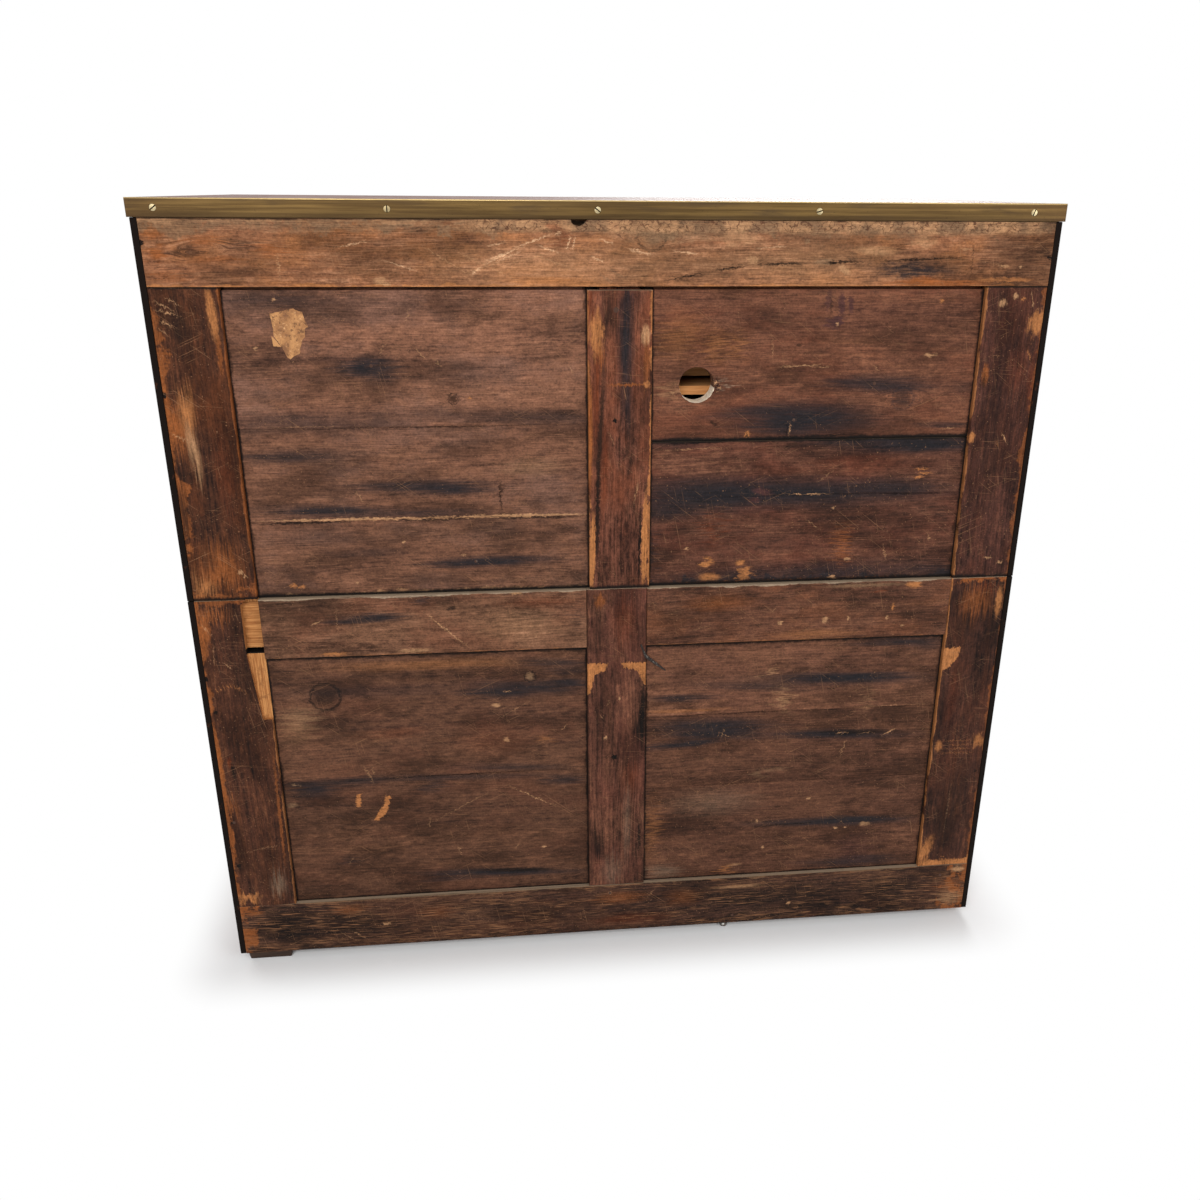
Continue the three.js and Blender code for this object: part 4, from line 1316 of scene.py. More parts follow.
def added(body: str, mesh: Mesh, material: Material, name: str, node: str | None = None) -> Object:
    """Adds a piece, in the place of a plain solid where one stands for it.

    Args:
        body: What it moves with.
        mesh: Its mesh. It is freed.
        material: Its finish.
        name: Its name.
        node: The solid whose place it takes.

    Returns:
        The piece.
    """
    thing = finished(mesh, name, material)
    if node:
        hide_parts(node)
    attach(thing, body)
    log.info("%s: %d faces", name, len(thing.data.polygons))
    return thing


def screw(body: str, head: Mesh, brass: Material, grime_and_shade: Material, name: str) -> None:
    """Adds a screw of brass whose slot is dark with dirt and painted shade."""
    added(body, head, brass, name).data.materials.append(grime_and_shade)


@dataclass
class FramedBack:
    """What the backs of both cases share: pine members whose faces are worn, and nails."""

    nodes: Nodes
    body: str = ""
    face: float = 228.5
    panel_face: float = 222.5
    tongue: float = 8.0
    arris: float = 0.9

    def rect(self, node: str, left: float = 0, right: float = 0, bottom: float = 0, top: float = 0) -> Rect:
        """Gives a member's visible rectangle, less what is hidden at each side."""
        low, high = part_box(node)
        return Rect(low.x / MM + left, high.x / MM - right, low.z / MM + bottom, high.z / MM - top)

    def member(self, node: str, finish: OldPine, rect: Rect, slot: str = "stained_pine") -> None:
        """Builds a frame member with worn arrises.

        Args:
            node: The member's solid.
            finish: Its finish.
            rect: Its visible rectangle.
            slot: Not used.
        """
        mesh = self.shape(node, merged(self.nodes[node]))
        worn_arrises(mesh, self.face, self.arris, finish.seed, 0.9)
        added(self.body, mesh, finish.dress(rect), f"{node}_worn", node)

    def panel(self, node: str, finish: OldPine, rect: Rect) -> None:
        """Builds a panel with wandering joints between its boards.

        Args:
            node: The panel's solid.
            finish: Its finish.
            rect: Its visible rectangle.
        """
        mesh = self.shape(node, merged(self.nodes[node]))
        for joint in finish.joints:
            ragged_joint(mesh, joint, finish.seed + joint)
        added(self.body, mesh, finish.dress(rect), f"{node}_worn", node)

    def shape(self, node: str, mesh: Mesh) -> Mesh:
        """Cuts what is missing from a member. A plain member is left whole."""
        return mesh

    def nail(self, name: str, x: float, z: float, face: float, radius: float = 2.1) -> None:
        """Drives a nail.

        Args:
            name: Its name.
            x: Its place across.
            z: Its place up.
            face: The face that it is driven into.
            radius: Its head's radius.
        """
        dome = [(radius, -0.1), (radius * 0.8, 0.22), (radius * 0.3, 0.3), (0, 0.3)]
        profile = [(0, -0.6), (radius * 0.9, -0.6), *dome]
        head = spun(profile, (x, face, z), Vector((0, 1, 0)), 14)
        iron = OldIron(f"{name}_iron", x + z, rusty=0.75)
        added(self.body, head, iron.dress(), name)


UPPER_RAIL = OldPine(
    'upper_rail_pine', Grain.ACROSS, shade(74, 44, 31), shade(132, 86, 59), shade(166, 118, 87),
    shade(150, 96, 57), 3,
    wear_and_shade_bands=(
        # The black band along the top only darkens the rail's edge under the brass strip.
        WearAndShade(TOP, 11, 0.75, ASH, 30), WearAndShade(TOP, 4, 0.5, PALE, 24), WearAndShade(TOP, 2.6, 0.8, BLACK, 30, 2),
        WearAndShade(BOTTOM, 2.2, 0.8, BARE, 50), WearAndShade(LEFT, 60, 0.45, BROWN, 60),
    ),
    knots=(
        Knot(-37.7, 918.7, 16, ASH, BLACK, 0.7), Knot(434, 903, 12, ORANGE, BROWN, 0.25),
    ),
    scratches=0.8, rubs=0.55, rings=0.45, contrast=0.85, flecks=0.5, crazed=Rect(-500, 190, 918, 934),
).marked(
    *scuff(ASH, (-62.6, 922, 95, 12, 0.8, 0, 0.5), (300, 926, 190, 7, 0.6, 0, 0.3),
    (-300, 924, 180, 9, 0.6, 0, 0.3)), *haze(BROWN, (-455, 900, 60, 44, 0.75)),
    *haze(PALE, (60, 886, 190, 34, 0.32), (-220, 888, 150, 34, 0.34)), *haze(BROWN, (380, 895, 130, 40, 0.28),
    (-300, 900, 120, 30, 0.25), (200, 905, 110, 16, 0.25)), *line(BLACK, (-47, 870, -102, 881, 2.4),
    (-102, 881, -149, 888, 2.6), (-149, 888, -217, 890, 3), (-217, 890, -282, 892, 2.8),
    (-282, 892, -403, 896, 2.2)), *dent(BLACK, (491.8, 909.1, 3.2, 3.4, 1, 0, 1),
    (-491.8, 895.7, 5, 2.6, 1, 0, 1)), *spot(ASH, (-231, 891, 14.5, 4.2, 0.8, 0, 0.6)),
    *dab(BLACK, (41.4, 930, 12, 4, 0.9, 0, 0.5), (-240, 890.5, 6, 2.6, 0.95, 0, 1)),
    *patch(RUST, (60, 915, 9, 16, 0.6)), *marks(0.65, INK, (-331.5, 882.7, 54, 10, 0.95, 1)),
    *scuff(ORANGE, (-345, 871, 23, 6, 0.9), (477, 898.8, 13, 9, 0.9), (480, 917, 15, 5, 0.7)),
    *scuff(BROWN, (-487, 903, 9, 8, 0.75)), *patch(BARE, (75.6, 871, 60, 5.5, 0.75, 2)),
    *line(GLINT, (158, 876, 145, 887, 2.2, 0.85), (145, 887, 113, 902, 2, 0.8), (147, 890, 96, 908, 1.6, 0.7),
    (136, 888, 100, 903, 1.5, 0.7), (113, 904, 68, 920, 2.2, 0.85), (50.4, 918, 53.8, 902, 1.9),
    (44.8, 918, 48.2, 902, 1.9), (59, 922, 68, 918, 2.4), (113, 922, 93, 927, 2.2, 0.7),
    (-10, 905, -40, 898, 2, 0.7), (30, 898, 12, 889, 2, 0.7), (85, 908, 60, 899, 2, 0.7),
    (140, 907, 118, 911, 1.8, 0.6), (20, 915, 2, 909, 1.9, 0.7)), *line(ASH, (22, 880, 4, 868, 2.4, 0.6),
    (12, 886, -12, 872, 2.4, 0.6)), *line(PALE, (357, 865, 357, 912, 1.3, 0.8), (100, 868, 180, 905, 1.4, 0.5),
    (132, 885, 60, 903, 1.4, 0.55), (95, 900, 48, 884, 1.6, 0.55), (170, 878, 110, 894, 1.2, 0.5)),
    *chip(PALE, (253.4, 871.3, 8, 5), (246, 868, 5, 2.4), (-254, 882.6, 10, 4.5, 35), (-150, 893, 8, 5, 20)),
    *smear(BROWN, (-370, 889, 50, 11, 0.5)), *scuff(PALE, (-134, 916.5, 24, 9, 0.5, 4),
    (-288, 903, 28, 6, 0.6, 3), (-340, 913, 16, 8, 0.55)), *chip(PALE, (-437, 887, 7, 1.6),
    (-457.7, 886, 2.5, 1.2)), *blot(ORANGE, (-360, 868.5, 70, 4.5, 0.8)),
    *line(BROWN, (-400, 866, -400, 918, 1.6, 0.7)), *blot(BARE, (-440, 872, 40, 3, 0.6)),
    *line(GLINT, (-60, 903, -92, 899, 2, 0.6), (-150, 905, -190, 908, 2, 0.6), (210, 880, 250, 893, 1.7, 0.5)),
    *line(PALE, (-383, 905, -400, 905, 3, 0.6), (150, 872, 215, 912, 1.4, 0.6)),
    *patch(BROWN, (447, 900, 17, 11, 0.75, -8), (-320, 908, 7, 9, 0.55)), *patch(ORANGE, (430, 912, 22, 6, 0.75)),
    *patch(BROWN, (394, 908, 17, 8, 0.7, 10)), *patch(ORANGE, (362, 904, 20, 9, 0.75, 8)),
    *smear(BROWN, (405, 880, 46, 6, 0.5, -5)), *patch(ORANGE, (470, 876, 24, 7, 0.5), (420, 893, 34, 4, 0.5, -3)),
    *line(GLINT, (300, 905, 260, 912, 1.7, 0.5)),
)
UPPER_STILE_RIGHT = OldPine(
    'upper_stile_right_pine', Grain.UP, shade(32, 18, 13), shade(62, 36, 24), shade(88, 52, 34),
    shade(82, 44, 24), 7,
    wear_and_shade_bands=(
        WearAndShade(LEFT, 1.4, 0.6, ORANGE, 60), WearAndShade(RIGHT, 7, 0.75, ORANGE, 40), WearAndShade(BOTTOM, 12, 0.6, ORANGE, 22),
    ),
    # Painted shade: a black band under the rail, and the painted shadow of the seam at the foot.
    gap_shadows=(SHADOWS[3], SEAM_SHADOW), scratches=0.95, rubs=0.4, contrast=0.95,
).marked(
    *smear(BROWN, (468, 828, 26, 26, 0.75)), *blot(BARE, (430.5, 836, 5.5, 32, 0.85, -3)),
    *blot(ORANGE, (428, 795, 3, 28, 0.7)), *line(PALE, (489, 852, 466, 839, 1.4), (490, 843, 463, 836, 1.4),
    (487, 833, 469, 822, 1.1), (478, 856, 459, 845, 1), (489, 826, 476, 812, 1, 0.6)),
    *patch(BARE, (471, 735, 11, 34, 0.8, 3, 0.2)), *patch(PALE, (469, 690, 7, 36, 0.7, -4, 0.2)),
    *haze(RUST, (440, 660, 12, 60, 0.35)), *smear(ORANGE, (482, 712, 11, 40, 0.7), (458.6, 553, 32, 36, 0.85)),
    *line(PALE, (492, 712, 470, 700, 1.6, 0.7)), *scuff(ORANGE, (491.5, 745, 5.5, 48, 0.85)),
    *dent(BLACK, (491.5, 753.1, 3.4, 3, 1, 0, 1)), *smear(BARE, (478, 530, 16, 16, 0.7)),
    *patch(BLACK, (455, 533, 12, 8, 0.6)), *patch(BROWN, (470, 566, 9, 16, 0.6), (489, 620, 6, 42, 0.8, 0, 0.6)),
    *chip(PALE, (436, 548, 4, 2.4), (431, 543, 3, 1.6)),
)
UPPER_STILE_LEFT = OldPine(
    'upper_stile_left_pine', Grain.UP, shade(35, 20, 15), shade(65, 39, 32), shade(92, 56, 43), shade(73, 40, 29),
    11,
    wear_and_shade_bands=(
        WearAndShade(RIGHT, 1.4, 0.7, BARE, 60), WearAndShade(LEFT, 3.5, 0.5, ORANGE, 40), WearAndShade(BOTTOM, 3, 0.5, ORANGE, 20),
    ),
    # Painted shade: a black band under the rail, and the painted shadow of the seam at the foot.
    gap_shadows=(SHADOWS[3], SEAM_SHADOW), scratches=0.75, rubs=0.3,
).marked(
    *blot(BARE, (-486.2, 824, 11, 17, 0.85, 15)), *blot(ORANGE, (-431.2, 765, 5, 14, 0.9, 0, 0.3)),
    *blot(BLACK, (-430.5, 758, 3, 10, 0.7, 0, 0.5)), *spot(BARE, (-424, 692, 4, 8, 0.9, 0, 0.3)),
    *chip(PALE, (-441.9, 846.6, 5.5, 5), (-456.3, 854.3, 4, 3.4), (-480, 533, 4, 1.6)),
    *chip(BARE, (-466, 851, 4, 2)), *line(PALE, (-474, 860, -480, 838, 1.4, 0.7),
    (-460, 699, -470, 682, 1.8, 0.8)), *line(BARE, (-456, 686, -459, 679, 1.4, 0.7)),
    *haze(BROWN, (-452, 650, 22, 60, 0.4)), *haze(RUST, (-470, 770, 18, 34, 0.3)),
    *smear(RUST, (-488, 760, 5, 40, 0.5)), *line(BARE, (-478, 795, -486, 780, 1.4, 0.7)),
    *chip(PALE, (-464, 540, 7, 1.4)),
)
UPPER_MUNTIN = OldPine(
    'upper_muntin_pine', Grain.UP, shade(51, 28, 20), shade(95, 57, 43), shade(129, 79, 58), shade(105, 57, 37),
    17,
    wear_and_shade_bands=(
        WearAndShade(LEFT, 2.4, 0.75, BARE, 26), WearAndShade(RIGHT, 2, 0.7, BARE, 26),
    ),
    # Painted shade: a black band under the rail, and the painted shadow of the seam at the foot.
    gap_shadows=(SHADOWS[3], SEAM_SHADOW), scratches=0.85, rubs=0.4,
).marked(
    *marks(0.85, INK, (-10.1, 800, 11, 84, 0.95)), *smear(INK, (-11, 850, 15, 14, 0.6)),
    *smear(BROWN, (8, 840, 10, 26, 0.7)), *smear(INK, (-12, 735, 6, 34, 0.6)),
    *haze(BROWN, (-15, 690, 5, 60, 0.5)), *blot(PALE, (-32.3, 813, 6, 13, 0.85)),
    *blot(BARE, (23, 812, 8, 30, 0.9, 0, 0.2)), *scuff(ORANGE, (-12.5, 758.3, 25, 2, 0.85)),
    *patch(RUST, (28, 845, 6, 14, 0.7)), *patch(ORANGE, (17, 790, 6, 10, 0.8), (-34, 780, 4, 34, 0.7),
    (31, 700, 4, 90, 0.85)), *blot(BARE, (-34, 758, 5, 4, 0.8)), *patch(RUST, (22.5, 748, 5.5, 60, 0.8, 2)),
    *scuff(BROWN, (19.5, 690, 3.5, 110, 0.95, 3, 0.9)), *blot(BLACK, (22.5, 600, 3, 70, 0.85, 1, 0.9)),
    *smear(RUST, (14, 660, 5, 80, 0.6, 2)), *marks(0.35, BARE, (-33.4, 575, 4.4, 62, 0.98, 1, 0.2),
    (29.2, 560, 4.2, 52, 0.98, 2, 0.2)), *spot(BLACK, (-27.6, 570, 1.4, 56, 0.9, 1, 0.9)),
    *line(PALE, (-25, 645, -20, 618, 1.4, 0.6), (10, 705, 2, 690, 1.2, 0.6)),
    *spot(BROWN, (33.5, 590, 1.6, 60, 0.8, 2)), *dent(BLACK, (2, 718, 2.2, 2.2, 1, 0, 1)),
)
UPPER_PANEL_RIGHT = OldPine(
    'upper_panel_right_pine', Grain.ACROSS, shade(80, 52, 40), shade(117, 79, 60), shade(139, 97, 73),
    shade(112, 80, 66), 23, joints=(605.3, 713.2), levels=(0.79, 0.84, 1.03),
    # The brown bands along the top and sides are dirt in the corners and painted shade from the frame round the panel.
    wear_and_shade_bands=(
        WearAndShade(TOP, 4, 0.7, BROWN, 40), WearAndShade(LEFT, 3, 0.6, BROWN, 40), WearAndShade(RIGHT, 3, 0.6, BROWN, 40),
        WearAndShade(BOTTOM, 4, 0.5, PALE, 26),
    ),
    # Painted shade: black bands round the panel under the frame, and the painted shadow of the seam.
    knots=(Knot(183.6, 743.9, 6, BROWN, BLACK, 0.75),), gap_shadows=(*SHADOWS, SEAM_SHADOW), scratches=0.6, rubs=0.35,
    contrast=0.72, rings=0.35,
).marked(
    *stain((277.1, 780.7, 31, 12.8, 0.98), (262, 776, 20, 16, 0.7), (372, 851, 62, 8, 0.55),
    (360, 682, 62, 9, 0.65), (388, 680, 36, 7, 0.5), (209.4, 643.1, 78, 9.5, 0.9), (180, 640, 36, 7, 0.9),
    (255, 645, 60, 6, 0.5)), *haze(INK, (340, 720, 160, 17, 0.6, -1), (100, 722, 170, 12, 0.5, 3),
    (230, 612, 90, 7, 0.6), (340, 583, 80, 12, 0.4), (290, 566, 60, 8, 0.4)), *chip(BARE, (379.3, 527.3, 5, 3.4),
    (370, 526, 4, 2.4), (165, 744, 5, 1.8)), *line(BLACK, (411, 711.5, 60, 713.5, 1.4, 0.6),
    (135.7, 651, 134.5, 607, 1.8, 0.8)), *smear(INK, (336.3, 617, 92, 10, 0.95, 1), (141.6, 551.2, 92, 9, 0.98)),
    *spot(PALE, (310, 606.8, 110, 1.7, 0.9), (120, 606.6, 100, 1.9, 0.9), (230, 606.2, 90, 1.3, 0.7),
    (210, 515.8, 200, 1.6, 0.75)), *blot(BLACK, (360, 603.6, 70, 1.4, 0.85, 0, 0.6),
    (90, 603.8, 60, 1.3, 0.8, 0, 0.6), (220, 604, 60, 1.2, 0.7, 0, 0.6)), *haze(BROWN, (330, 838, 90, 18, 0.35)),
    *line(PALE, (405, 714.5, 300, 714.8, 0.9, 0.4), (224, 846, 230, 826, 1.2, 0.6),
    (222, 801, 210, 787, 1.4, 0.75), (205, 790, 192, 778, 1.2, 0.6), (250, 810, 262, 792, 1.1, 0.45),
    (300, 642, 290, 624, 1.2, 0.6), (55, 780, 48, 772, 1.2, 0.6)), *patch(INK, (190, 549, 50, 6, 0.85)),
    *chip(PALE, (249, 577.8, 1.7, 1.7), (305.7, 528.7, 2, 2), (181, 560, 1.6, 1.4), (391.3, 801.5, 2.8, 2.4),
    (366.8, 851.4, 2.2, 1.3)), *scuff(BROWN, (134, 640, 3.4, 9, 0.7)), *haze(PALE, (100, 665, 40, 14, 0.22)),
)
UPPER_PANEL_LEFT = OldPine(
    'upper_panel_left_pine', Grain.ACROSS, shade(51, 32, 26), shade(82, 51, 39), shade(116, 77, 58),
    shade(90, 51, 38), 29, joints=(623.7,),
    # The brown bands along the sides are dirt in the corners and painted shade from the frame; the ink band darkens the
    # panel towards its foot.
    wear_and_shade_bands=(
        WearAndShade(LEFT, 4, 0.7, BROWN, 40), WearAndShade(RIGHT, 3, 0.7, BROWN, 40), WearAndShade(BOTTOM, 7, 0.8, INK, 30),
    ),
    # Painted shade: black bands round the panel under the frame, and the painted shadow of the seam.
    gap_shadows=(*SHADOWS, SEAM_SHADOW), scratches=0.55, rubs=0.3, contrast=0.8, rings=0.35,
).marked(
    *smear(INK, (-200, 627, 215, 23, 0.97), (-110, 628, 125, 27, 0.9)), *haze(INK, (-330, 630, 110, 15, 0.8, 2),
    (-60, 605, 50, 16, 0.6), (-274.8, 524, 140, 20, 0.85), (-130, 521, 90, 14, 0.7), (-390, 524, 50, 14, 0.6),
    (-40, 555, 9, 55, 0.6)), *scuff(BARE, (-112, 541, 10, 7, 0.9), (-152, 540, 7, 4, 0.85),
    (-114, 523, 16, 6, 0.75), (-158, 525, 8, 10, 0.75)), *chip(BARE, (-369.6, 653, 9, 1.6), (-374, 648, 10, 1.4),
    (-366, 643, 7, 1.6)), *scuff(PURPLE, (-175, 629, 15, 6, 0.9, 12), (-166, 619, 9, 4, 0.8)),
    *smear(ORANGE, (-278.6, 560, 9, 32, 0.55)), *smear(RUST, (-117, 583, 8, 30, 0.55, 4)),
    *chip(PALE, (-286, 541, 4, 2), (-85, 560, 3.4, 1.6), (-264, 607, 2, 2)),
    *dent(PALE, (-268, 517.5, 5, 4, 1, 0, 0.3)), *spot(ORANGE, (-220, 515.8, 190, 1.4, 0.6)),
    *line(BLACK, (-42, 687, -163, 692.5, 2.2), (-163, 692.5, -307, 697, 2.2), (-278, 681, -350, 680.5, 3),
    (-350, 680.5, -423, 683, 4.2)), *stain((-349.4, 688, 92, 14, 0.96), (-380, 682, 60, 9, 0.96),
    (-280, 692, 70, 8, 0.7)), *haze(INK, (-60, 690, 60, 10, 0.5, 3)), *haze(RUST, (-300, 660, 90, 14, 0.25)),
    *line(PALE, (-45, 681, -130, 683, 1, 0.6), (-196, 625.5, -262, 624, 1.1, 0.95),
    (-330, 560, -335, 537, 1.2, 0.8), (-385, 575, -388, 560, 1.2, 0.6), (-228, 595, -250, 580, 1.1, 0.6),
    (-262, 655, -240, 638, 1.1, 0.5)), *line(BLACK, (-262, 624, -420, 622, 0.8, 0.8)),
)
UPPER_BOARD_LEFT = replace(
    UPPER_PANEL_LEFT,
    fresh=Fresh(Grain.ACROSS, -116.5, -67.5, 731.8, 753, 222.35, dark=shade(214, 190, 158), light=shade(255, 246, 230)),
    name='upper_board_left_pine', dark=shade(68, 40, 31), middle=shade(98, 62, 46), light=shade(128, 84, 61),
    tint=shade(100, 58, 41), seed=31,
    # The brown bands along the top and sides are dirt in the corners and painted shade from the frame; the board keeps
    # the left panel's black painted shadow bands.
    wear_and_shade_bands=(
        WearAndShade(TOP, 4, 0.7, BROWN, 40), WearAndShade(LEFT, 3, 0.6, BROWN, 40), WearAndShade(RIGHT, 3, 0.6, BROWN, 40),
    ),
    knots=(Knot(-337, 738, 13, BROWN, INK, 0.45),),
).marked(
    *spot(PURPLE, (-255.5, 845, 5, 16, 0.9, -5), (-240, 850, 4, 13, 0.7, 6)),
    *blot(PURPLE, (-248, 826, 14, 7, 0.95), (-266, 845, 4, 12, 0.9, -8)), *chip(PALE, (-252, 824, 2.6, 2.6),
    (-365, 788, 8, 2.4)), *line(BROWN, (-243, 832, -243, 857, 2.4, 0.8)), *chip(BROWN, (-209, 800, 4, 1.6)),
    *chip(BARE, (-372, 848, 2.6, 2.6)), *line(BLACK, (-163, 692.5, -307, 698, 2.6)),
    *haze(BROWN, (-215, 700, 240, 26, 0.4)), *stain((-224.1, 718, 88, 21, 0.95), (-205, 712, 50, 18, 0.9),
    (-160, 726, 60, 8, 0.7, -6), (-304.8, 756, 62, 11, 0.85), (-330, 750, 40, 7, 0.7), (-268, 758, 30, 6, 0.6)),
    *smear(INK, (-336.9, 736, 17, 12, 0.55, 20), (-390, 706, 40, 4, 0.7)),
    *spot(BARE, (-153, 698, 3.4, 5, 0.95, 0, 0.3)), *scuff(BLACK, (-113, 712, 7, 2.6, 0.8, 30)),
    *line(PALE, (-385, 701, -410, 703, 1.4, 0.7), (-187, 776, -238, 778, 1.8, 0.85),
    (-223, 775, -250, 776, 1.2, 0.6), (-298, 777, -306, 768, 1.2, 0.6), (-203, 714, -203, 694, 1.3, 0.8),
    (-60, 750, -70, 742, 1.4, 0.6)), *line(BLACK, (-200, 712, -200, 693, 1, 0.8)),
    *haze(BARE, (-112, 800, 12, 26, 0.4, -12), (-138, 800, 10, 22, 0.35, -12)),
    *line(PALE, (-176, 815, -180, 778, 1.1, 0.5)), *haze(DUST, (-117.5, 757, 4.5, 11, 0.45)),
    *haze(INK, (-410, 750, 22, 10, 0.4)), *spot(BLACK, (-153, 697, 1.4, 4, 0.9)),
    *haze(INK, (-86, 693, 40, 5, 0.5, 4)), *dab(PALE, (-113.6, 759, 0.9, 1.8, 0.95)),
    *spot(BLACK, (-115.8, 762, 1, 1.6, 0.9, 0, 0.5), (-116.6, 756, 1.1, 1.4, 0.9, 0, 0.5)),
    *dab(PALE, (-118.6, 753, 1.3, 1, 0.9)), *spot(BLACK, (-115, 752, 1, 1.5, 0.9, 0, 0.5),
    (-119.6, 759, 1, 1.2, 0.8, 0, 0.5)), *dab(PALE, (-117, 748.6, 1.3, 1.3, 0.85)),
    *haze(PALE, (-64, 750, 12, 12, 0.4)), *haze(BARE, (-71, 812, 26, 36, 0.28, 30)),
)
LOWER_STILE_RIGHT = OldPine(
    'lower_stile_right_pine', Grain.UP, shade(36, 22, 16), shade(65, 38, 27), shade(90, 55, 37),
    shade(72, 42, 27), 41,
    wear_and_shade_bands=(
        WearAndShade(RIGHT, 4, 0.75, ORANGE, 40), WearAndShade(LEFT, 1.1, 0.5, BARE, 40), WearAndShade(TOP, 5, 0.6, ORANGE, 20),
    ),
    # The band from 444 to 450.4 is the mortise's slot, its shade painted black.
    fresh=Fresh(Grain.UP, 418, 444.5, 355.5, 515, 227.9, (444, 450.4)), scratches=0.7, rubs=0.25,
).marked(
    *patch(ORANGE, (470, 497, 20, 9, 0.7)), *scuff(BROWN, (440, 478, 3.4, 24, 0.7)),
    *blot(ORANGE, (486, 475, 7, 34, 0.85, 6)), *smear(BROWN, (452, 488, 14, 16, 0.5)),
    *line(PALE, (489, 485, 478, 470, 1.2, 0.6), (478, 460, 480, 430, 0.9, 0.5), (470, 436, 460, 425, 1.6, 0.8)),
    *line(BARE, *((483 - 4.2 * i, 402 + 7 * math.sin(0.45 * i), 480 - 4.2 * i, 394 + 7 * math.sin(0.45 * i), 1.3, 0.7)
        for i in range(9))),
    *blot(BLACK, (476, 287, 2.6, 14, 0.9, 0, 0.5)), *dent(BLACK, (492.7, 414.2, 3, 3.4, 1, 0, 1)),
    *scuff(BARE, (479, 100, 16, 9, 0.9)), *line(PALE, (425, 180, 485, 168, 1.2, 0.35)),
    *dab(BLACK, (486, 215, 2.6, 2.6, 0.9, 0, 0.6), (486, 150, 3.4, 4, 0.9, 0, 0.6)),
    *blot(ORANGE, (491, 300, 3.6, 62, 0.9)), *scuff(RUST, (479, 300, 2.6, 9, 0.8)),
    *dab(BLACK, (487, 370, 2.4, 3, 0.9, 0, 0.6)), *smear(ORANGE, (484, 240, 10, 14, 0.6)),
    *haze(BROWN, (450, 400, 20, 50, 0.4)), *blot(ORANGE, (427, 230, 2.4, 90, 0.6, 1)),
    *haze(DUST, (440, 120, 12, 20, 0.3)),
)
LOWER_STILE_LEFT = OldPine(
    'lower_stile_left_pine', Grain.UP, shade(33, 20, 16), shade(58, 35, 27), shade(87, 53, 37), shade(70, 39, 27),
    43,
    wear_and_shade_bands=(
        WearAndShade(RIGHT, 1.2, 0.75, BARE, 50), WearAndShade(LEFT, 2.4, 0.4, ORANGE, 34), WearAndShade(TOP, 6, 0.8, ORANGE, 20),
        WearAndShade(BOTTOM, 9, 0.9, BARE, 26),
    ),
    scratches=0.7, rubs=0.25,
).marked(
    Splinter(((-420, 418), (-444, 419), (-441, 404), (-430, 390), (-420, 386))),
    *smear(ORANGE, (-456, 480, 26, 24, 0.6)), *smear(BROWN, (-440, 450, 22, 24, 0.5)),
    *blot(BARE, (-486, 480, 5, 24, 0.8)), *patch(RUST, (-470, 500, 22, 6, 0.6)),
    *line(BARE, *((-430, 284 - 6 * i, -484, 282 - 6 * i, 1.1, 0.45) for i in range(4))),
    *scuff(BARE, (-485, 282, 8, 12, 0.7), (-430, 276, 6, 10, 0.6)), *haze(BROWN, (-455, 200, 30, 60, 0.5),
    (-450, 140, 26, 40, 0.5)), *scuff(BARE, (-428, 112, 10, 26, 0.85, 20)), *blot(BARE, (-458, 92, 40, 6, 0.85)),
    *line(PALE, (-455, 230, -452, 130, 1, 0.3)), *haze(RUST, (-440, 340, 10, 60, 0.3)),
    *dab(BLACK, (-486, 235, 2.2, 2.2, 0.9, 0, 0.5)),
)
LOWER_MUNTIN = OldPine(
    'lower_muntin_pine', Grain.UP, shade(46, 27, 20), shade(81, 50, 38), shade(110, 71, 53), shade(90, 52, 41),
    47,
    wear_and_shade_bands=(
        WearAndShade(LEFT, 2, 0.6, BROWN, 50), WearAndShade(RIGHT, 1.8, 0.6, BROWN, 50),
    ),
    scratches=0.6, rubs=0.35, rings=0.8,
).marked(
    Splinter(((37, 415.5), (11, 415.5), (13, 405), (37, 398))),
    Splinter(((37, 402), (27, 402), (32.5, 376), (37, 372))),
    Splinter(((-38, 415.5), (-5, 415.5), (-9, 408), (-38, 403))),
    Splinter(((-38, 406), (-26, 406), (-33, 386), (-38, 383))), *patch(BLACK, (0, 398, 26, 8, 0.35),
    (-29, 325, 7, 30, 0.8), (25, 150, 10, 26, 0.85), (30, 170, 5, 16, 0.7), (3.2, 281, 6, 8, 0.5)),
    *blot(BLACK, (-33, 340, 4.2, 62, 0.95), (-30, 160, 2.6, 30, 0.85)), *chip(PALE, (-4, 366, 1.6, 2.4),
    (14, 311, 2.6, 3)), *line(PALE, (22, 345, 16, 338, 1.2, 0.6), (8, 366, 12, 355, 1.2, 0.4)),
    *dent(BLACK, (3.2, 283.1, 3.4, 4.2, 1, 0, 1)), *scuff(BROWN, (12, 283, 9, 1.6, 0.6)),
    *haze(RUST, (-10, 470, 20, 40, 0.4), (-18, 250, 16, 26, 0.4)), *haze(DUST, (6, 110, 18, 24, 0.16),
    (-14, 180, 6, 70, 0.14)), *scuff(ORANGE, (20, 498, 8, 12, 0.7, -10)), *smear(BROWN, (22, 460, 10, 44, 0.6)),
)
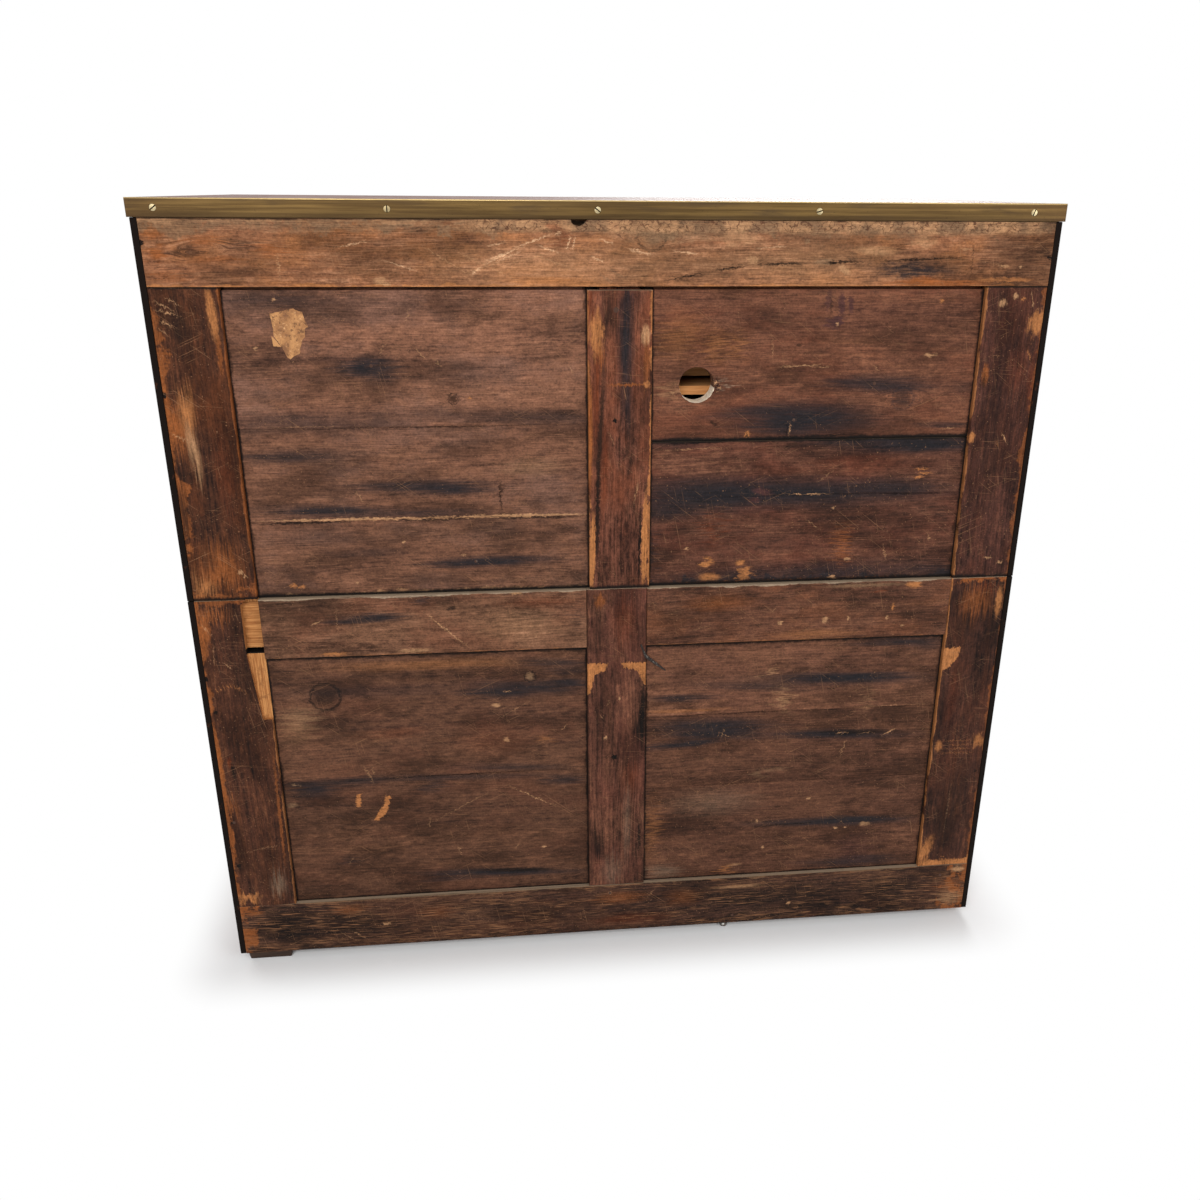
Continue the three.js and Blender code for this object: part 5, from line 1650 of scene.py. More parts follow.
LOWER_RAIL_RIGHT = OldPine(
    'lower_rail_right_pine', Grain.ACROSS, shade(68, 44, 32), shade(106, 73, 54), shade(131, 93, 71),
    shade(103, 65, 47), 53,
    wear_and_shade_bands=(
        WearAndShade(TOP, 1.2, 0.8, DUST, 50), WearAndShade(BOTTOM, 1, 0.4, BARE, 30),
    ),
    scratches=0.65, rubs=0.45, contrast=0.8, rings=0.35,
).marked(
    *scuff(PALE, (245, 442, 22, 3, 0.7)), *line(PALE, (349, 486, 364, 479, 2.2), (100, 460, 96, 448, 1.1, 0.5)),
    *stain((298.6, 485.7, 42, 6, 0.9), (280, 487, 26, 7, 0.85), (320, 482, 34, 4, 0.7)),
    *line(PALE, (234, 494, 177, 440, 1.4, 0.95), (333, 505, 333, 462, 1, 0.5)),
    *line(BROWN, (206, 460, 177, 438, 2, 0.6)), *patch(INK, (233, 506, 9, 6, 0.8)),
    *blot(BLACK, (198, 495, 7, 3, 0.7, -8)), *haze(PALE, (120, 470, 60, 30, 0.2)),
    *haze(RUST, (90, 500, 60, 10, 0.45)), *haze(BROWN, (395, 470, 20, 30, 0.4)),
    *spot(PALE, (120, 512, 8, 2.4, 0.9)), *line(PALE, (268, 505, 262, 497, 1, 0.6)),
    *scuff(BARE, (340, 441, 20, 2.6, 0.7)), *haze(INK, (45, 480, 6, 30, 0.5)),
)
LOWER_RAIL_LEFT = OldPine(
    'lower_rail_left_pine', Grain.ACROSS, shade(53, 34, 25), shade(88, 56, 42), shade(116, 79, 58),
    shade(98, 59, 39), 59,
    wear_and_shade_bands=(
        WearAndShade(TOP, 1.4, 0.8, DUST, 46), WearAndShade(BOTTOM, 1, 0.4, BARE, 30),
    ),
    scratches=0.6, rubs=0.35, contrast=0.85,
).marked(
    *chip(PALE, (-204.3, 461.4, 3, 4, 40), (-261.7, 463.3, 4, 5, 40), (-291.8, 464.3, 2.2, 3.4),
    (-340.9, 463.8, 2, 3), (-362, 452, 3, 2)), *blot(BARE, (-372.4, 507, 11, 5, 0.9)),
    *scuff(ASH, (-310, 508, 60, 3, 0.7)), *chip(BARE, (-348, 478, 2, 6, 10)),
    *haze(ORANGE, (-130, 490, 50, 12, 0.4)), *haze(BARE, (-250, 445, 60, 8, 0.35)),
    *haze(BROWN, (-70, 470, 26, 24, 0.4), (-390, 470, 20, 30, 0.5)), *line(PALE, (-200, 485, -193, 476, 1, 0.5),
    (-90, 455, -120, 462, 1, 0.4)), *patch(BROWN, (-370, 468, 40, 2.4, 0.7)),
    *patch(RUST, (-330, 500, 9, 3, 0.6)),
)
LOWER_PANEL_RIGHT = OldPine(
    'lower_panel_right_pine', Grain.ACROSS, shade(59, 38, 30), shade(87, 58, 43), shade(112, 76, 56),
    shade(90, 57, 42), 61, joints=(265.4,), levels=(0.84, 1),
    # The brown bands along the top and sides are dirt in the corners and painted shade from the frame round the panel.
    wear_and_shade_bands=(
        WearAndShade(TOP, 5, 0.5, BROWN, 40), WearAndShade(LEFT, 3, 0.7, BROWN, 40), WearAndShade(RIGHT, 3, 0.6, BROWN, 40),
    ),
    knots=(
        Knot(357.4, 381.9, 18, BROWN, BLACK, 0.8), Knot(107.4, 398.7, 7, ASH, BLACK, 0.8),
    ),
    # Painted shade: black bands round the panel under the frame, and a wider black band painted as the shadow under the
    # rail above.
    gap_shadows=(*SHADOWS, WearAndShade(TOP, 8.6, 0.97, BLACK, 60, 0.8)), scratches=0.65, rubs=0.3, contrast=0.85, rings=0.35,
).marked(
    *patch(INK, (150, 378, 50, 9, 0.9, 5), (154.4, 114, 120, 7, 0.95, 3)),
    Splinter(((301, 223), (293, 219), (306, 203), (313, 204))), *scuff(BLACK, (130, 116, 62, 4.2, 0.9, 3)),
    *smear(INK, (112.8, 384, 88, 12, 0.85, 6), (60, 388, 44, 8, 0.9, 4), (85, 418, 66, 8, 0.8, 4),
    (385, 254, 34, 15, 0.85), (335, 262, 50, 8, 0.7), (68.3, 250, 30, 9, 0.8), (236, 250, 13, 14, 0.6, 30),
    (215, 108, 50, 5, 0.6)), Splinter(((296, 239), (289.5, 239), (293, 219), (300, 221))),
    *scuff(ASH, (412, 232, 8, 4, 0.6)), *haze(INK, (300, 386, 150, 12, 0.4, 1), (60, 405, 30, 9, 0.5),
    (220, 262, 190, 6, 0.65, 1.5), (130, 272, 100, 7, 0.65, 3)), *haze(BARE, (92, 310, 10, 7, 0.35),
    (228.8, 420, 150, 9, 0.3)), *chip(PALE, (140, 312, 4, 4), (95, 150, 3, 2)),
    *scuff(PALE, (150, 361, 6, 4, 0.8)), *haze(RUST, (150, 314, 60, 30, 0.2), (280, 328, 50, 10, 0.3)),
    *line(BLACK, (415, 262, 45, 267, 1.2, 0.7)), *line(PALE, (142, 380, 130, 379, 1.8),
    (319, 285, 308, 257, 2.6, 0.45), (309, 284, 306, 268, 1.2, 0.6), (144, 248, 74, 208, 1.1, 0.85),
    (150, 245, 250, 190, 0.9, 0.5), (240, 204, 244, 188, 1.2, 0.8), (207, 160, 203, 142, 1.2, 0.7),
    (70, 321, 62, 330, 1.2, 0.8), (100, 370, 160, 335, 1, 0.4), (343, 150, 350, 138, 1, 0.6),
    (135, 150, 125, 158, 1.1, 0.6)), Splinter(((331, 243), (324.5, 244), (327.5, 225), (334, 224))),
    *haze(ASH, (390, 355, 30, 16, 0.4, 10)), *haze(PALE, (395, 345, 30, 30, 0.25)),
    *haze(INK, (348, 144, 10, 10, 0.5)), *line(ASH, (412, 262, 398, 260, 2.6, 0.8)),
)
LOWER_PANEL_LEFT = OldPine(
    'lower_panel_left_pine', Grain.ACROSS, shade(56, 36, 27), shade(88, 57, 43), shade(120, 81, 60),
    shade(96, 63, 46), 67, joints=(230.8, 335.6), levels=(0.8, 0.86, 1.15),
    # The brown bands along the sides and top are dirt in the corners and painted shade from the frame round the panel.
    wear_and_shade_bands=(
        WearAndShade(LEFT, 3, 0.7, BROWN, 40), WearAndShade(RIGHT, 3, 0.6, BROWN, 40), WearAndShade(TOP, 3, 0.4, BROWN, 40),
    ),
    knots=(
        Knot(-342, 318, 5, BROWN, BROWN, 0.5), Knot(-66, 208, 6, BROWN, BROWN, 0.4),
    ),
    # Painted shade: black bands round the panel under the frame, and a wider black band painted as the shadow under the
    # rail above.
    gap_shadows=(*SHADOWS, WearAndShade(TOP, 8.6, 0.97, BLACK, 60, 0.8)), scratches=0.6, rubs=0.25, contrast=0.68, rings=0.35,
).marked(
    *patch(INK, (-310, 380, 84, 8, 0.85, 1), (-120, 307, 74, 9, 0.85), (-85, 293, 66, 6.5, 0.92, -4),
    (-330, 167, 74, 6, 0.85, 2)), *haze(INK, (-180, 372, 100, 9, 0.7, 4), (-170, 300, 40, 8, 0.6, 6)),
    *stain((-370, 427, 66, 6, 0.9), (-400, 420, 30, 7, 0.6)), *line(BROWN, (-40, 229, -230, 232, 1.1, 0.7)),
    *smear(INK, (-286, 379, 150, 12, 0.95, 2), (-85.5, 360, 56, 7, 0.85), (-294.3, 164, 140, 8, 0.92, 2),
    (-325.4, 98, 88, 10, 0.85, 1), (-350, 105, 40, 5, 0.6, 1)), *blot(PALE, (-300, 154, 4, 1.8, 0.9),
    (-315, 154, 3, 1.6, 0.8)), *scuff(PALE, (-340, 158, 9, 3.4, 0.6)), *patch(BARE, (-152, 98, 6, 9, 0.75)),
    *line(BLACK, (-180, 163, -290, 165, 1, 0.8), (-230, 232, -415, 232, 1, 0.4)),
    *chip(PALE, (-260, 203, 2.6, 1.6), (-190, 172, 2.4, 3.4), (-200, 130, 3.4, 1.8)),
    *haze(ASH, (-195, 246, 10, 8, 0.6), (-215, 250, 8, 5, 0.5)), *smear(BROWN, (-330, 240, 30, 4, 0.6)),
    *haze(PURPLE, (-330, 120, 40, 30, 0.4)), *patch(PALE, (-195, 392, 18, 3, 0.5, -30), (-160, 104, 9, 3, 0.6)),
    *haze(DUST, (-130, 205, 70, 24, 0.12), (-60, 100, 26, 14, 0.2)), *haze(BARE, (-90, 342, 60, 3.6, 0.35),
    (-48, 170, 10, 60, 0.3)), *smear(INK, (-128.5, 318, 96, 15, 0.95, 2)),
    *patch(PALE, (-217, 352, 6, 26, 0.5, -14)), *line(PALE, (-135, 308, -150, 300, 1.2),
    (-140, 315, -138, 300, 1.2, 0.6), (-415, 337, -300, 336, 1, 0.5)), *smear(INK, (-290, 298, 120, 9, 0.95, 3)),
    *patch(BLACK, (-320, 300, 60, 5, 0.85, 2)), *line(PALE, (-290, 300, -308, 300, 1.4),
    (-320, 296, -338, 300, 1.2, 0.6), (-352, 293, -372, 303, 2), (-305, 290, -297, 262, 1.2, 0.8)),
    *haze(PALE, (-330, 345, 5, 26, 0.3, 8)), *line(BLACK, (-45, 334, -300, 337, 1, 0.75)),
    *haze(BROWN, (-300, 322, 8, 8, 0.5)),
)
BOTTOM_RAIL = OldPine(
    'bottom_rail_pine', Grain.ACROSS, shade(30, 20, 16), shade(58, 38, 30), shade(85, 58, 43), shade(68, 41, 29),
    71,
    # The black band along the foot only darkens the rail towards its bottom edge.
    wear_and_shade_bands=(
        WearAndShade(TOP, 1.8, 0.5, ASH, 40), WearAndShade(RIGHT, 16, 0.85, ORANGE, 24), WearAndShade(BOTTOM, 6, 0.5, BLACK, 26),
        WearAndShade(LEFT, 22, 0.7, ORANGE, 20),
    ),
    scratches=0.7, flecks=0.85, rubs=0.7, rings=0.8, contrast=1.15,
).marked(
    *haze(BLACK, (360, 60, 60, 14, 0.6), (300, 40, 120, 22, 0.45), (120, 55, 60, 22, 0.5),
    (-200, 55, 140, 22, 0.55), (-380, 55, 80, 24, 0.55)), *haze(ORANGE, (240, 60, 26, 12, 0.25),
    (-90, 60, 30, 16, 0.3)), *patch(BLACK, (432, 48, 50, 34, 0.85)), *patch(ORANGE, (480, 78, 16, 8, 0.7)),
    *scuff(PALE, (-479.7, 79.3, 12, 5, 0.95)), *smear(ORANGE, (352, 73, 26, 9, 0.45), (-5, 66, 40, 12, 0.45)),
    *chip(PALE, (8.6, 74.4, 2.4, 2.6), (307, 47, 6, 2), (-240, 40, 3, 3)), *line(PALE, (360, 44, 332, 22, 1, 0.6),
    (372, 40, 344, 20, 0.9, 0.5), (-55, 80, -40, 60, 1, 0.5)), *smear(PALE, (-170, 72, 40, 4, 0.6),
    (-472.8, 32, 20, 14, 0.6)), *haze(RUST, (-20, 30, 60, 12, 0.4)), *smear(ORANGE, (-472, 55, 18, 12, 0.5)),
    *spot(BLACK, (352, 40.3, 6, 5, 0.7)),
)


@dataclass
class UpperBack(FramedBack):
    """The back of the upper case, with the cable hole and the remains of a pasted paper."""

    body: str = "upper_case"
    hole_x: float = -92.0
    hole_z: float = 756.3
    hole_radius: float = 20.15
    hole_sides: int = 72
    paper: tuple[Point, ...] = (
        (373, 837), (356.2, 840.9), (347.4, 842.8), (345.6, 841.4), (338.6, 838.8), (336, 829.2), (333.8, 823),
        (337.2, 821.7), (338.1, 812.9), (341.5, 809.1), (344.2, 800), (344.9, 795.3), (352.5, 791.7), (355.7, 789.3),
        (358.5, 790.9), (360.8, 795.7), (363.1, 801.5), (366.4, 806.7), (369.6, 812), (371.2, 814.9), (370.5, 820.6),
        (371.4, 831.1),
    )
    flap: tuple[Point, ...] = (
        (373, 813.7), (371.4, 812.6), (367.5, 807.2), (364, 802.3), (372.1, 803.2), (372.8, 808.2)
    )

    def build(self) -> None:
        """Builds the members, the nails and the paper."""
        rail = self.rect("upper_back_rail")
        self.member("upper_back_rail", UPPER_RAIL, rail, "rail_pine")
        foot = self.rect("upper_back_stile_right").bottom
        head = rail.bottom
        for node, finish in (
            ("upper_back_stile_right", UPPER_STILE_RIGHT),
            ("upper_back_stile_left", UPPER_STILE_LEFT),
            ("upper_back_muntin", UPPER_MUNTIN),
        ):
            self.member(node, finish, replace(self.rect(node), bottom=foot, top=head))
        for node, finish in (
            ("upper_back_panel_right", UPPER_PANEL_RIGHT),
            ("upper_back_panel_left", UPPER_PANEL_LEFT),
            ("upper_back_board_left", UPPER_BOARD_LEFT),
        ):
            self.panel(node, finish, self.rect(node, self.tongue, self.tongue))
        for index, (x, z) in enumerate(((270.5, 781.3), (166.8, 551.5), (-208, 714.6), (-301.2, 755.8)), 1):
            self.nail(f"upper_nail_{index}", x, z, self.panel_face)
        self.nail("upper_muntin_nail", 1.0, 840.5, self.face, 3.2)
        self.scrap()

    def shape(self, node: str, mesh: Mesh) -> Mesh:
        """Rounds the cable hole, splinters its rim and breaks a bit off the rail's top.

        Args:
            node: The member's solid.
            mesh: Its mesh.

        Returns:
            The mesh with its holes.
        """
        if node == "upper_back_board_left":
            hole, rim = [], []
            for index in range(self.hole_sides):
                turn = 2 * math.pi * index / self.hole_sides
                loss = 1.3 * max(0.0, -math.cos(turn + 0.1)) * (0.5 + noise.noise(Vector((turn * 9, 2, 0))))
                for outline, reach in ((hole, self.hole_radius), (rim, self.hole_radius + max(0.15, loss))):
                    outline.append((self.hole_x + reach * math.cos(turn), self.hole_z + reach * math.sin(turn)))
            return carved(mesh, [prism(hole, (198, 224)), prism(rim, (221.4, 224))])
        if node == "upper_back_rail":
            bite = [(50, 936), (48.5, 930.6), (46, 928.4), (41, 927.2), (36, 929.4), (33.5, 931.6), (31, 936)]
            return carved(mesh, [prism(bite, (220, 230))])
        return mesh

    def scrap(self) -> None:
        """Pastes the torn remains of a blank paper on the panel."""
        paper = OldPaper("old_paper", 81.0).dress()
        for name, outline in (("paper_scrap", self.paper), ("paper_flap", self.flap)):
            mesh = prism(self.torn(outline), (self.panel_face - 0.2, self.panel_face + 0.22))
            added(self.body, mesh, paper, name)

    def torn(self, outline: Sequence[Point]) -> list[Point]:
        """Roughens an outline as torn paper is.

        Args:
            outline: Its corners.

        Returns:
            The rough outline.
        """
        rough: list[Point] = []
        for (x0, z0), (x1, z1) in zip(outline, (*outline[1:], outline[0])):
            steps = max(1, int(math.hypot(x1 - x0, z1 - z0) / 1.6))
            for step in range(steps):
                share = step / steps
                x, z = x0 + (x1 - x0) * share, z0 + (z1 - z0) * share
                tear = 0.7 * noise.noise(Vector((x / 2.3, z / 2.3, 0)))
                rough.append((x + tear, z + 0.7 * noise.noise(Vector((z / 2.3, x / 2.3, 7)))))
        return rough


@dataclass
class LowerBack(FramedBack):
    """The back of the lower case, with one broken stile."""

    body: str = "lower_case"
    hidden_tenon: float = 21.3
    wire_sides: int = 10

    def build(self) -> None:
        """Builds the members, the nails and the bent nail."""
        bottom = self.rect("lower_back_bottom_rail")
        self.member("lower_back_bottom_rail", BOTTOM_RAIL, bottom)
        for node, finish in (
            ("lower_back_stile_right", LOWER_STILE_RIGHT),
            ("lower_back_stile_left", LOWER_STILE_LEFT),
            ("lower_back_muntin", LOWER_MUNTIN),
        ):
            self.member(node, finish, replace(self.rect(node), bottom=bottom.top))
        torn = replace(LOWER_RAIL_RIGHT, fresh=Fresh(Grain.ACROSS, 421.3, 450, 440, 515, 231))
        for side, finish in (("right", torn), ("left", LOWER_RAIL_LEFT)):
            node = f"lower_back_rail_{side}"
            self.member(node, finish, self.rect(node, self.hidden_tenon, self.hidden_tenon), "rail_pine")
        for side, finish in (("right", LOWER_PANEL_RIGHT), ("left", LOWER_PANEL_LEFT)):
            node = f"lower_back_panel_{side}"
            self.panel(node, finish, self.rect(node, *4 * (self.tongue,)))
        for index, (x, z) in enumerate(((138.9, 380.2), (207.4, 117.5), (-134, 308), (-299, 300)), 1):
            self.nail(f"lower_nail_{index}", x, z, self.panel_face, 1.7)
        for index, (x, z) in enumerate(((8.6, 74.4), (-455.2, 71), (-161.2, 25.6), (484, 215)), 1):
            self.nail(f"rail_nail_{index}", x, z, self.face, 2.2)
        self.bent_nail()

    def bent_nail(self) -> None:
        """Leaves an old nail, bent over flat, at the muntin's edge."""
        path = (
            (-29.6, 216, 441, 0.9), (-29.8, 226.5, 440.5, 1.0), (-30.6, 229.0, 438, 1.1), (-33.6, 229.0, 430, 1.4),
            (-36.6, 228.4, 422.6, 1.9), (-40.5, 226.8, 419, 2.0), (-51, 225.4, 410, 1.7), (-62, 224.2, 400.6, 0.7),
        )
        points = [Vector(spot[:3]) * MM for spot in path]
        mesh = bmesh.new()
        rings = []
        for index, point in enumerate(points):
            ahead = points[min(index + 1, len(points) - 1)] - points[max(index - 1, 0)]
            turn = Vector((0, 0, 1)).rotation_difference(ahead)
            radius = path[index][3] * MM
            angles = [math.tau * side / self.wire_sides for side in range(self.wire_sides)]
            spots = [Vector((radius * math.cos(angle), radius * math.sin(angle), 0)) for angle in angles]
            rings.append([mesh.verts.new(point + turn @ spot) for spot in spots])
        for low, high in zip(rings, rings[1:]):
            for index in range(self.wire_sides):
                after = (index + 1) % self.wire_sides
                mesh.faces.new((low[index], low[after], high[after], high[index]))
        mesh.faces.new(rings[0])
        mesh.faces.new(rings[-1])
        iron = OldIron("bent_nail_iron", 91.0, clean=shade(122, 116, 108), rust=shade(34, 25, 20), rusty=0.6)
        added(self.body, mesh, iron.dress(), "bent_nail")


PAIR = (("_left", -280.0), ("_right", 280.0))
DRAWERS = (
    ("long_drawer_top", PAIR, 0.0),
    ("long_drawer_middle", PAIR, 0.0),
    ("long_drawer_bottom", PAIR, 0.0),
    ("short_drawer_left", (("", -245.25),), -245.25),
    ("short_drawer_right", (("", 245.25),), 245.25),
)


PULL_BRASS = (shade(158, 127, 76), shade(128, 101, 59), shade(100, 78, 47))
HANDLE_BRASS = (shade(150, 120, 72), shade(122, 96, 56), shade(94, 73, 45))
BAIL_BRASS = (shade(160, 130, 80), shade(118, 92, 54), shade(80, 61, 39))
SCREW_BRASS = (shade(196, 182, 146), shade(166, 148, 110), shade(116, 98, 66))
# Near-black brass for the screw slots: dirt together with painted shade.
GRIME_AND_SHADE = (shade(46, 38, 27), shade(33, 27, 20), shade(24, 20, 16))


def coated(thing: Object, material: Material) -> Object:
    """Gives a solid that stays its finish and joins its corners.

    Args:
        thing: The solid.
        material: Its finish.

    Returns:
        The solid.
    """
    thing.data.materials.clear()
    thing.data.materials.append(material)
    thing.modifiers.new("welded", "WELD").merge_threshold = 0.01 * MM
    log.info("%s: dressed", thing.name)
    return thing


def rounded_bar(thing: Object, material: Material) -> None:
    """Gives a bent bar its finish and rounds its sides.

    Args:
        thing: The bar.
        material: Its finish.
    """
    thing.data.shade_smooth()
    smooth = coated(thing, material).modifiers.new("rounded", "SUBSURF")
    smooth.levels = 2
    smooth.render_levels = 2


@dataclass
class CaseBoards:
    """The polished sides and the plain boards inside both cases."""

    nodes: Nodes
    rear_lip: float = 221.5
    lipping: float = -205.0
    drawer_back: float = 10.1
    arris: float = 0.7

    def build(self) -> None:
        """Dresses the boards where they are."""
        for index, node in enumerate(("upper_side_left", "upper_side_right", "lower_side_left", "lower_side_right")):
            wood = PolishedWood(f"{node}_wood", Grain.UP, 101.0 + index, black_from=self.rear_lip)
            self.dress(node, wood.dress())
        self.dress("short_drawer_divider", PolishedWood("divider_wood", Grain.UP, 106.0).dress())
        bare = BareWood("case_board_wood", Grain.ACROSS, 111.0, lipping=self.lipping).dress()
        for node in ("upper_bottom_board", "lower_top_board", "lower_bottom_board", "lower_dust_frame"):
            self.dress(node, bare)
        reddish = (shade(170, 112, 64), shade(226, 168, 110))
        dust = BareWood("dust_board_wood", Grain.ACROSS, 113.0, *reddish, self.lipping)
        self.dress("upper_dust_frame", dust.dress())
        for index, (name, _, _) in enumerate(DRAWERS):
            _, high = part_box(f"{name}_box")
            turned = high.y / MM - self.drawer_back
            self.dress(f"{name}_box", BareWood(f"{name}_wood", Grain.DEEP, 121.0 + index, turned=turned).dress())

    def dress(self, node: str, material: Material) -> None:
        """Gives a solid its finish and eases its edges.

        Args:
            node: The solid.
            material: Its finish.
        """
        ease = coated(self.nodes[node], material).modifiers.new("eased", "BEVEL")
        ease.width = self.arris * MM
        ease.segments = 2
        ease.limit_method = "ANGLE"
        ease.angle_limit = math.radians(50)


@dataclass
class CaseTop:
    """The polished top board and the brass edging screwed round it."""

    nodes: Nodes
    grime_and_shade: Material
    body: str = "upper_case"
    screw_radius: float = 3.4
    screw_height: float = 943.6
    rear_screws: tuple[float, ...] = (474.9, 240.7, 20.7, -220.7, -464.6)
    front_screws: tuple[float, ...] = (470.0, 235.0, 0.0, -235.0, -470.0)
    side_screws: tuple[float, ...] = (195.0, 0.0, -195.0)

    def build(self) -> None:
        """Builds the board, the strips and their screws."""
        board = softened(merged(self.nodes["top_board"]), 0.5)
        wood = PolishedWood("top_board_wood", Grain.ACROSS, 141.0, polish=0.1)
        added(self.body, board, wood.dress(), "top_board_polished", "top_board")
        for index, (node, facing, places, face) in enumerate((
            ("edging_rear", Vector((0, 1, 0)), self.rear_screws, 230.5),
            ("edging_front", Vector((0, -1, 0)), self.front_screws, -230.5),
            ("edging_left", Vector((-1, 0, 0)), self.side_screws, -502.0),
            ("edging_right", Vector((1, 0, 0)), self.side_screws, 502.0),
        )):
            self.strip(node, facing, places, face, 151.0 + index)

    def strip(self, node: str, facing: Vector, places: Sequence[float], face: float, seed: float) -> None:
        """Builds one strip, countersunk for its screws.

        Args:
            node: The strip's solid.
            facing: The way that it faces.
            places: Where its screws are along it.
            face: Where its face is on the axis that it faces along.
            seed: Its seed.
        """
        high = self.screw_height
        spots = [(place, face, high) if facing.y else (face, place, high) for place in places]
        radius = self.screw_radius
        sink = [(0, 1), (radius + 1.4, 1), (radius + 0.35, 0), (radius * 0.5, -2.4), (0, -2.4)]
        low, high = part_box(node)
        mesh = carved(softened(merged(self.nodes[node]), 0.35), [spun(sink, spot, facing, 32) for spot in spots])
        ends = 400.0 if facing.y else None
        brass = AgedBrass(f"{node}_brass", seed, strip=(low.z / MM, high.z / MM), dark_ends=ends)
        added(self.body, mesh, brass.dress(), f"{node}_strip", node)
        material = AgedBrass(f"{node}_screw_brass", seed + 9, *SCREW_BRASS).dress()
        for index, spot in enumerate(spots):
            head = slotted_head(Vector(spot) - facing * 0.1, facing, radius, 37 + 53 * index)
            screw(self.body, head, material, self.grime_and_shade, f"{node}_screw_{index + 1}")


@dataclass
class DrawerFront:
    """A drawer's polished front with its brass pulls let in flush."""

    name: str
    pulls: tuple[tuple[str, float], ...]
    lock_x: float
    nodes: Nodes
    grime_and_shade: Material
    seed: float
    plate_width: float = 100.0
    plate_height: float = 58.0
    corner: float = 3.0
    clearance: float = 0.3
    fit: float = -0.1
    pocket: float = 15.2
    front: float = -228.5
    through: Point = (-232, -214)
    rise: float = 0.8
    lock_drop: float = 34.0
    key_radius: float = 3.4
    key_width: float = 3.0
    key_length: float = 12.0
    liner: float = 1.1

    def build(self) -> None:
        """Builds the wood, the brass and the keyhole, and dresses the bails."""
        node = f"{self.name}_front"
        low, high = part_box(node)
        up = (low.z + high.z) / 2 / MM
        material = AgedBrass(f"{self.name}_pull_brass", self.seed + 1, *PULL_BRASS).dress()
        pockets = [self.pocket_block(x, up, self.clearance) for _, x in self.pulls]
        for suffix, x in self.pulls:
            block = self.pocket_block(x, up, self.fit)
            insert = softened(carved(merged(self.nodes[node]), [block], "INTERSECT"), 0.35, 2, 60)
            added(self.name, insert, material, f"{self.name}_pull{suffix}")
            for across, rise in ((-46, 23), (46, 23), (-46, -23), (46, -23)):
                spot = (x + across, self.front - self.rise - 0.05, up + rise)
                head = slotted_head(spot, Vector((0, -1, 0)), 2.3, 30 + across + rise)
                corner = f"{'left' if across < 0 else 'right'}_{'top' if rise > 0 else 'foot'}"
                screw(self.name, head, material, self.grime_and_shade, f"{self.name}_pull{suffix}_screw_{corner}")
            rounded_bar(self.nodes[f"{self.name}_bail{suffix}"], material)
        lock_z = high.z / MM - self.lock_drop
        wood = carved(merged(self.nodes[node]), [*pockets, prism(self.keyhole(lock_z, self.liner), self.through)])
        finish = PolishedWood(f"{self.name}_front_wood", Grain.ACROSS, self.seed).dress()
        added(self.name, softened(wood, 0.5), finish, f"{self.name}_front_board", node)
        ring = prism(self.keyhole(lock_z, self.liner - 0.02), (self.front, self.front + 5))
        ring = carved(ring, [prism(self.keyhole(lock_z, 0.0), self.through)])
        added(self.name, ring, material, f"{self.name}_keyhole_liner")

    def pocket_block(self, x: float, up: float, grow: float) -> Mesh:
        """Makes the block of a pull's pocket, a little wider or narrower than its plate."""
        outline = rounded_rectangle(x, up, self.plate_width + grow, self.plate_height + grow, self.corner)
        return prism(outline, (self.front - 6, self.front + self.pocket))

    def keyhole(self, z: float, grow: float) -> list[Point]:
        """Draws a keyhole: a round head over a narrow slot.

        Args:
            z: The middle of the round head.
            grow: How much wider the outline is on every side.

        Returns:
            The outline.
        """
        radius = self.key_radius + grow
        half = self.key_width / 2 + grow
        start = -math.pi / 2 + math.asin(half / radius)
        sweep = 2 * math.pi - 2 * math.asin(half / radius)
        turns = [start + sweep * step / 24 for step in range(25)]
        foot = z - self.key_length - grow
        return [
            *((self.lock_x + radius * math.cos(turn), z + radius * math.sin(turn)) for turn in turns),
            (self.lock_x - half, foot),
            (self.lock_x + half, foot),
        ]


@dataclass
class CarryingHandle:
    """A brass carrying handle on the side of a case."""

    name: str
    body: str
    side: int
    nodes: Nodes
    grime_and_shade: Material
    seed: float
    screw_places: tuple[Point, ...] = ((-30, 15), (30, 15), (-30, -15), (30, -15), (0, 0))

    def build(self) -> None:
        """Builds the plate with its screws and dresses the bail."""
        node = f"{self.name}_plate"
        material = AgedBrass(f"{self.name}_brass", self.seed, *HANDLE_BRASS).dress()
        plate = softened(merged(self.nodes[node]), 0.35, 2)
        added(self.body, plate, material, f"{node}_cast", node)
        low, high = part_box(node)
        up = (low.z + high.z) / 2 / MM
        face = self.side * (500 + 0.3 + 2.6)
        for index, (along, rise) in enumerate(self.screw_places):
            spot = (face + self.side * 0.1, along, up + rise)
            head = slotted_head(spot, Vector((self.side, 0, 0)), 3.2, 41 * index)
            screw(self.body, head, material, self.grime_and_shade, f"{node}_screw_{index + 1}")
        bail = AgedBrass(f"{self.name}_bail_brass", self.seed + 1, *BAIL_BRASS).dress()
        rounded_bar(self.nodes[f"{self.name}_bail"], bail)


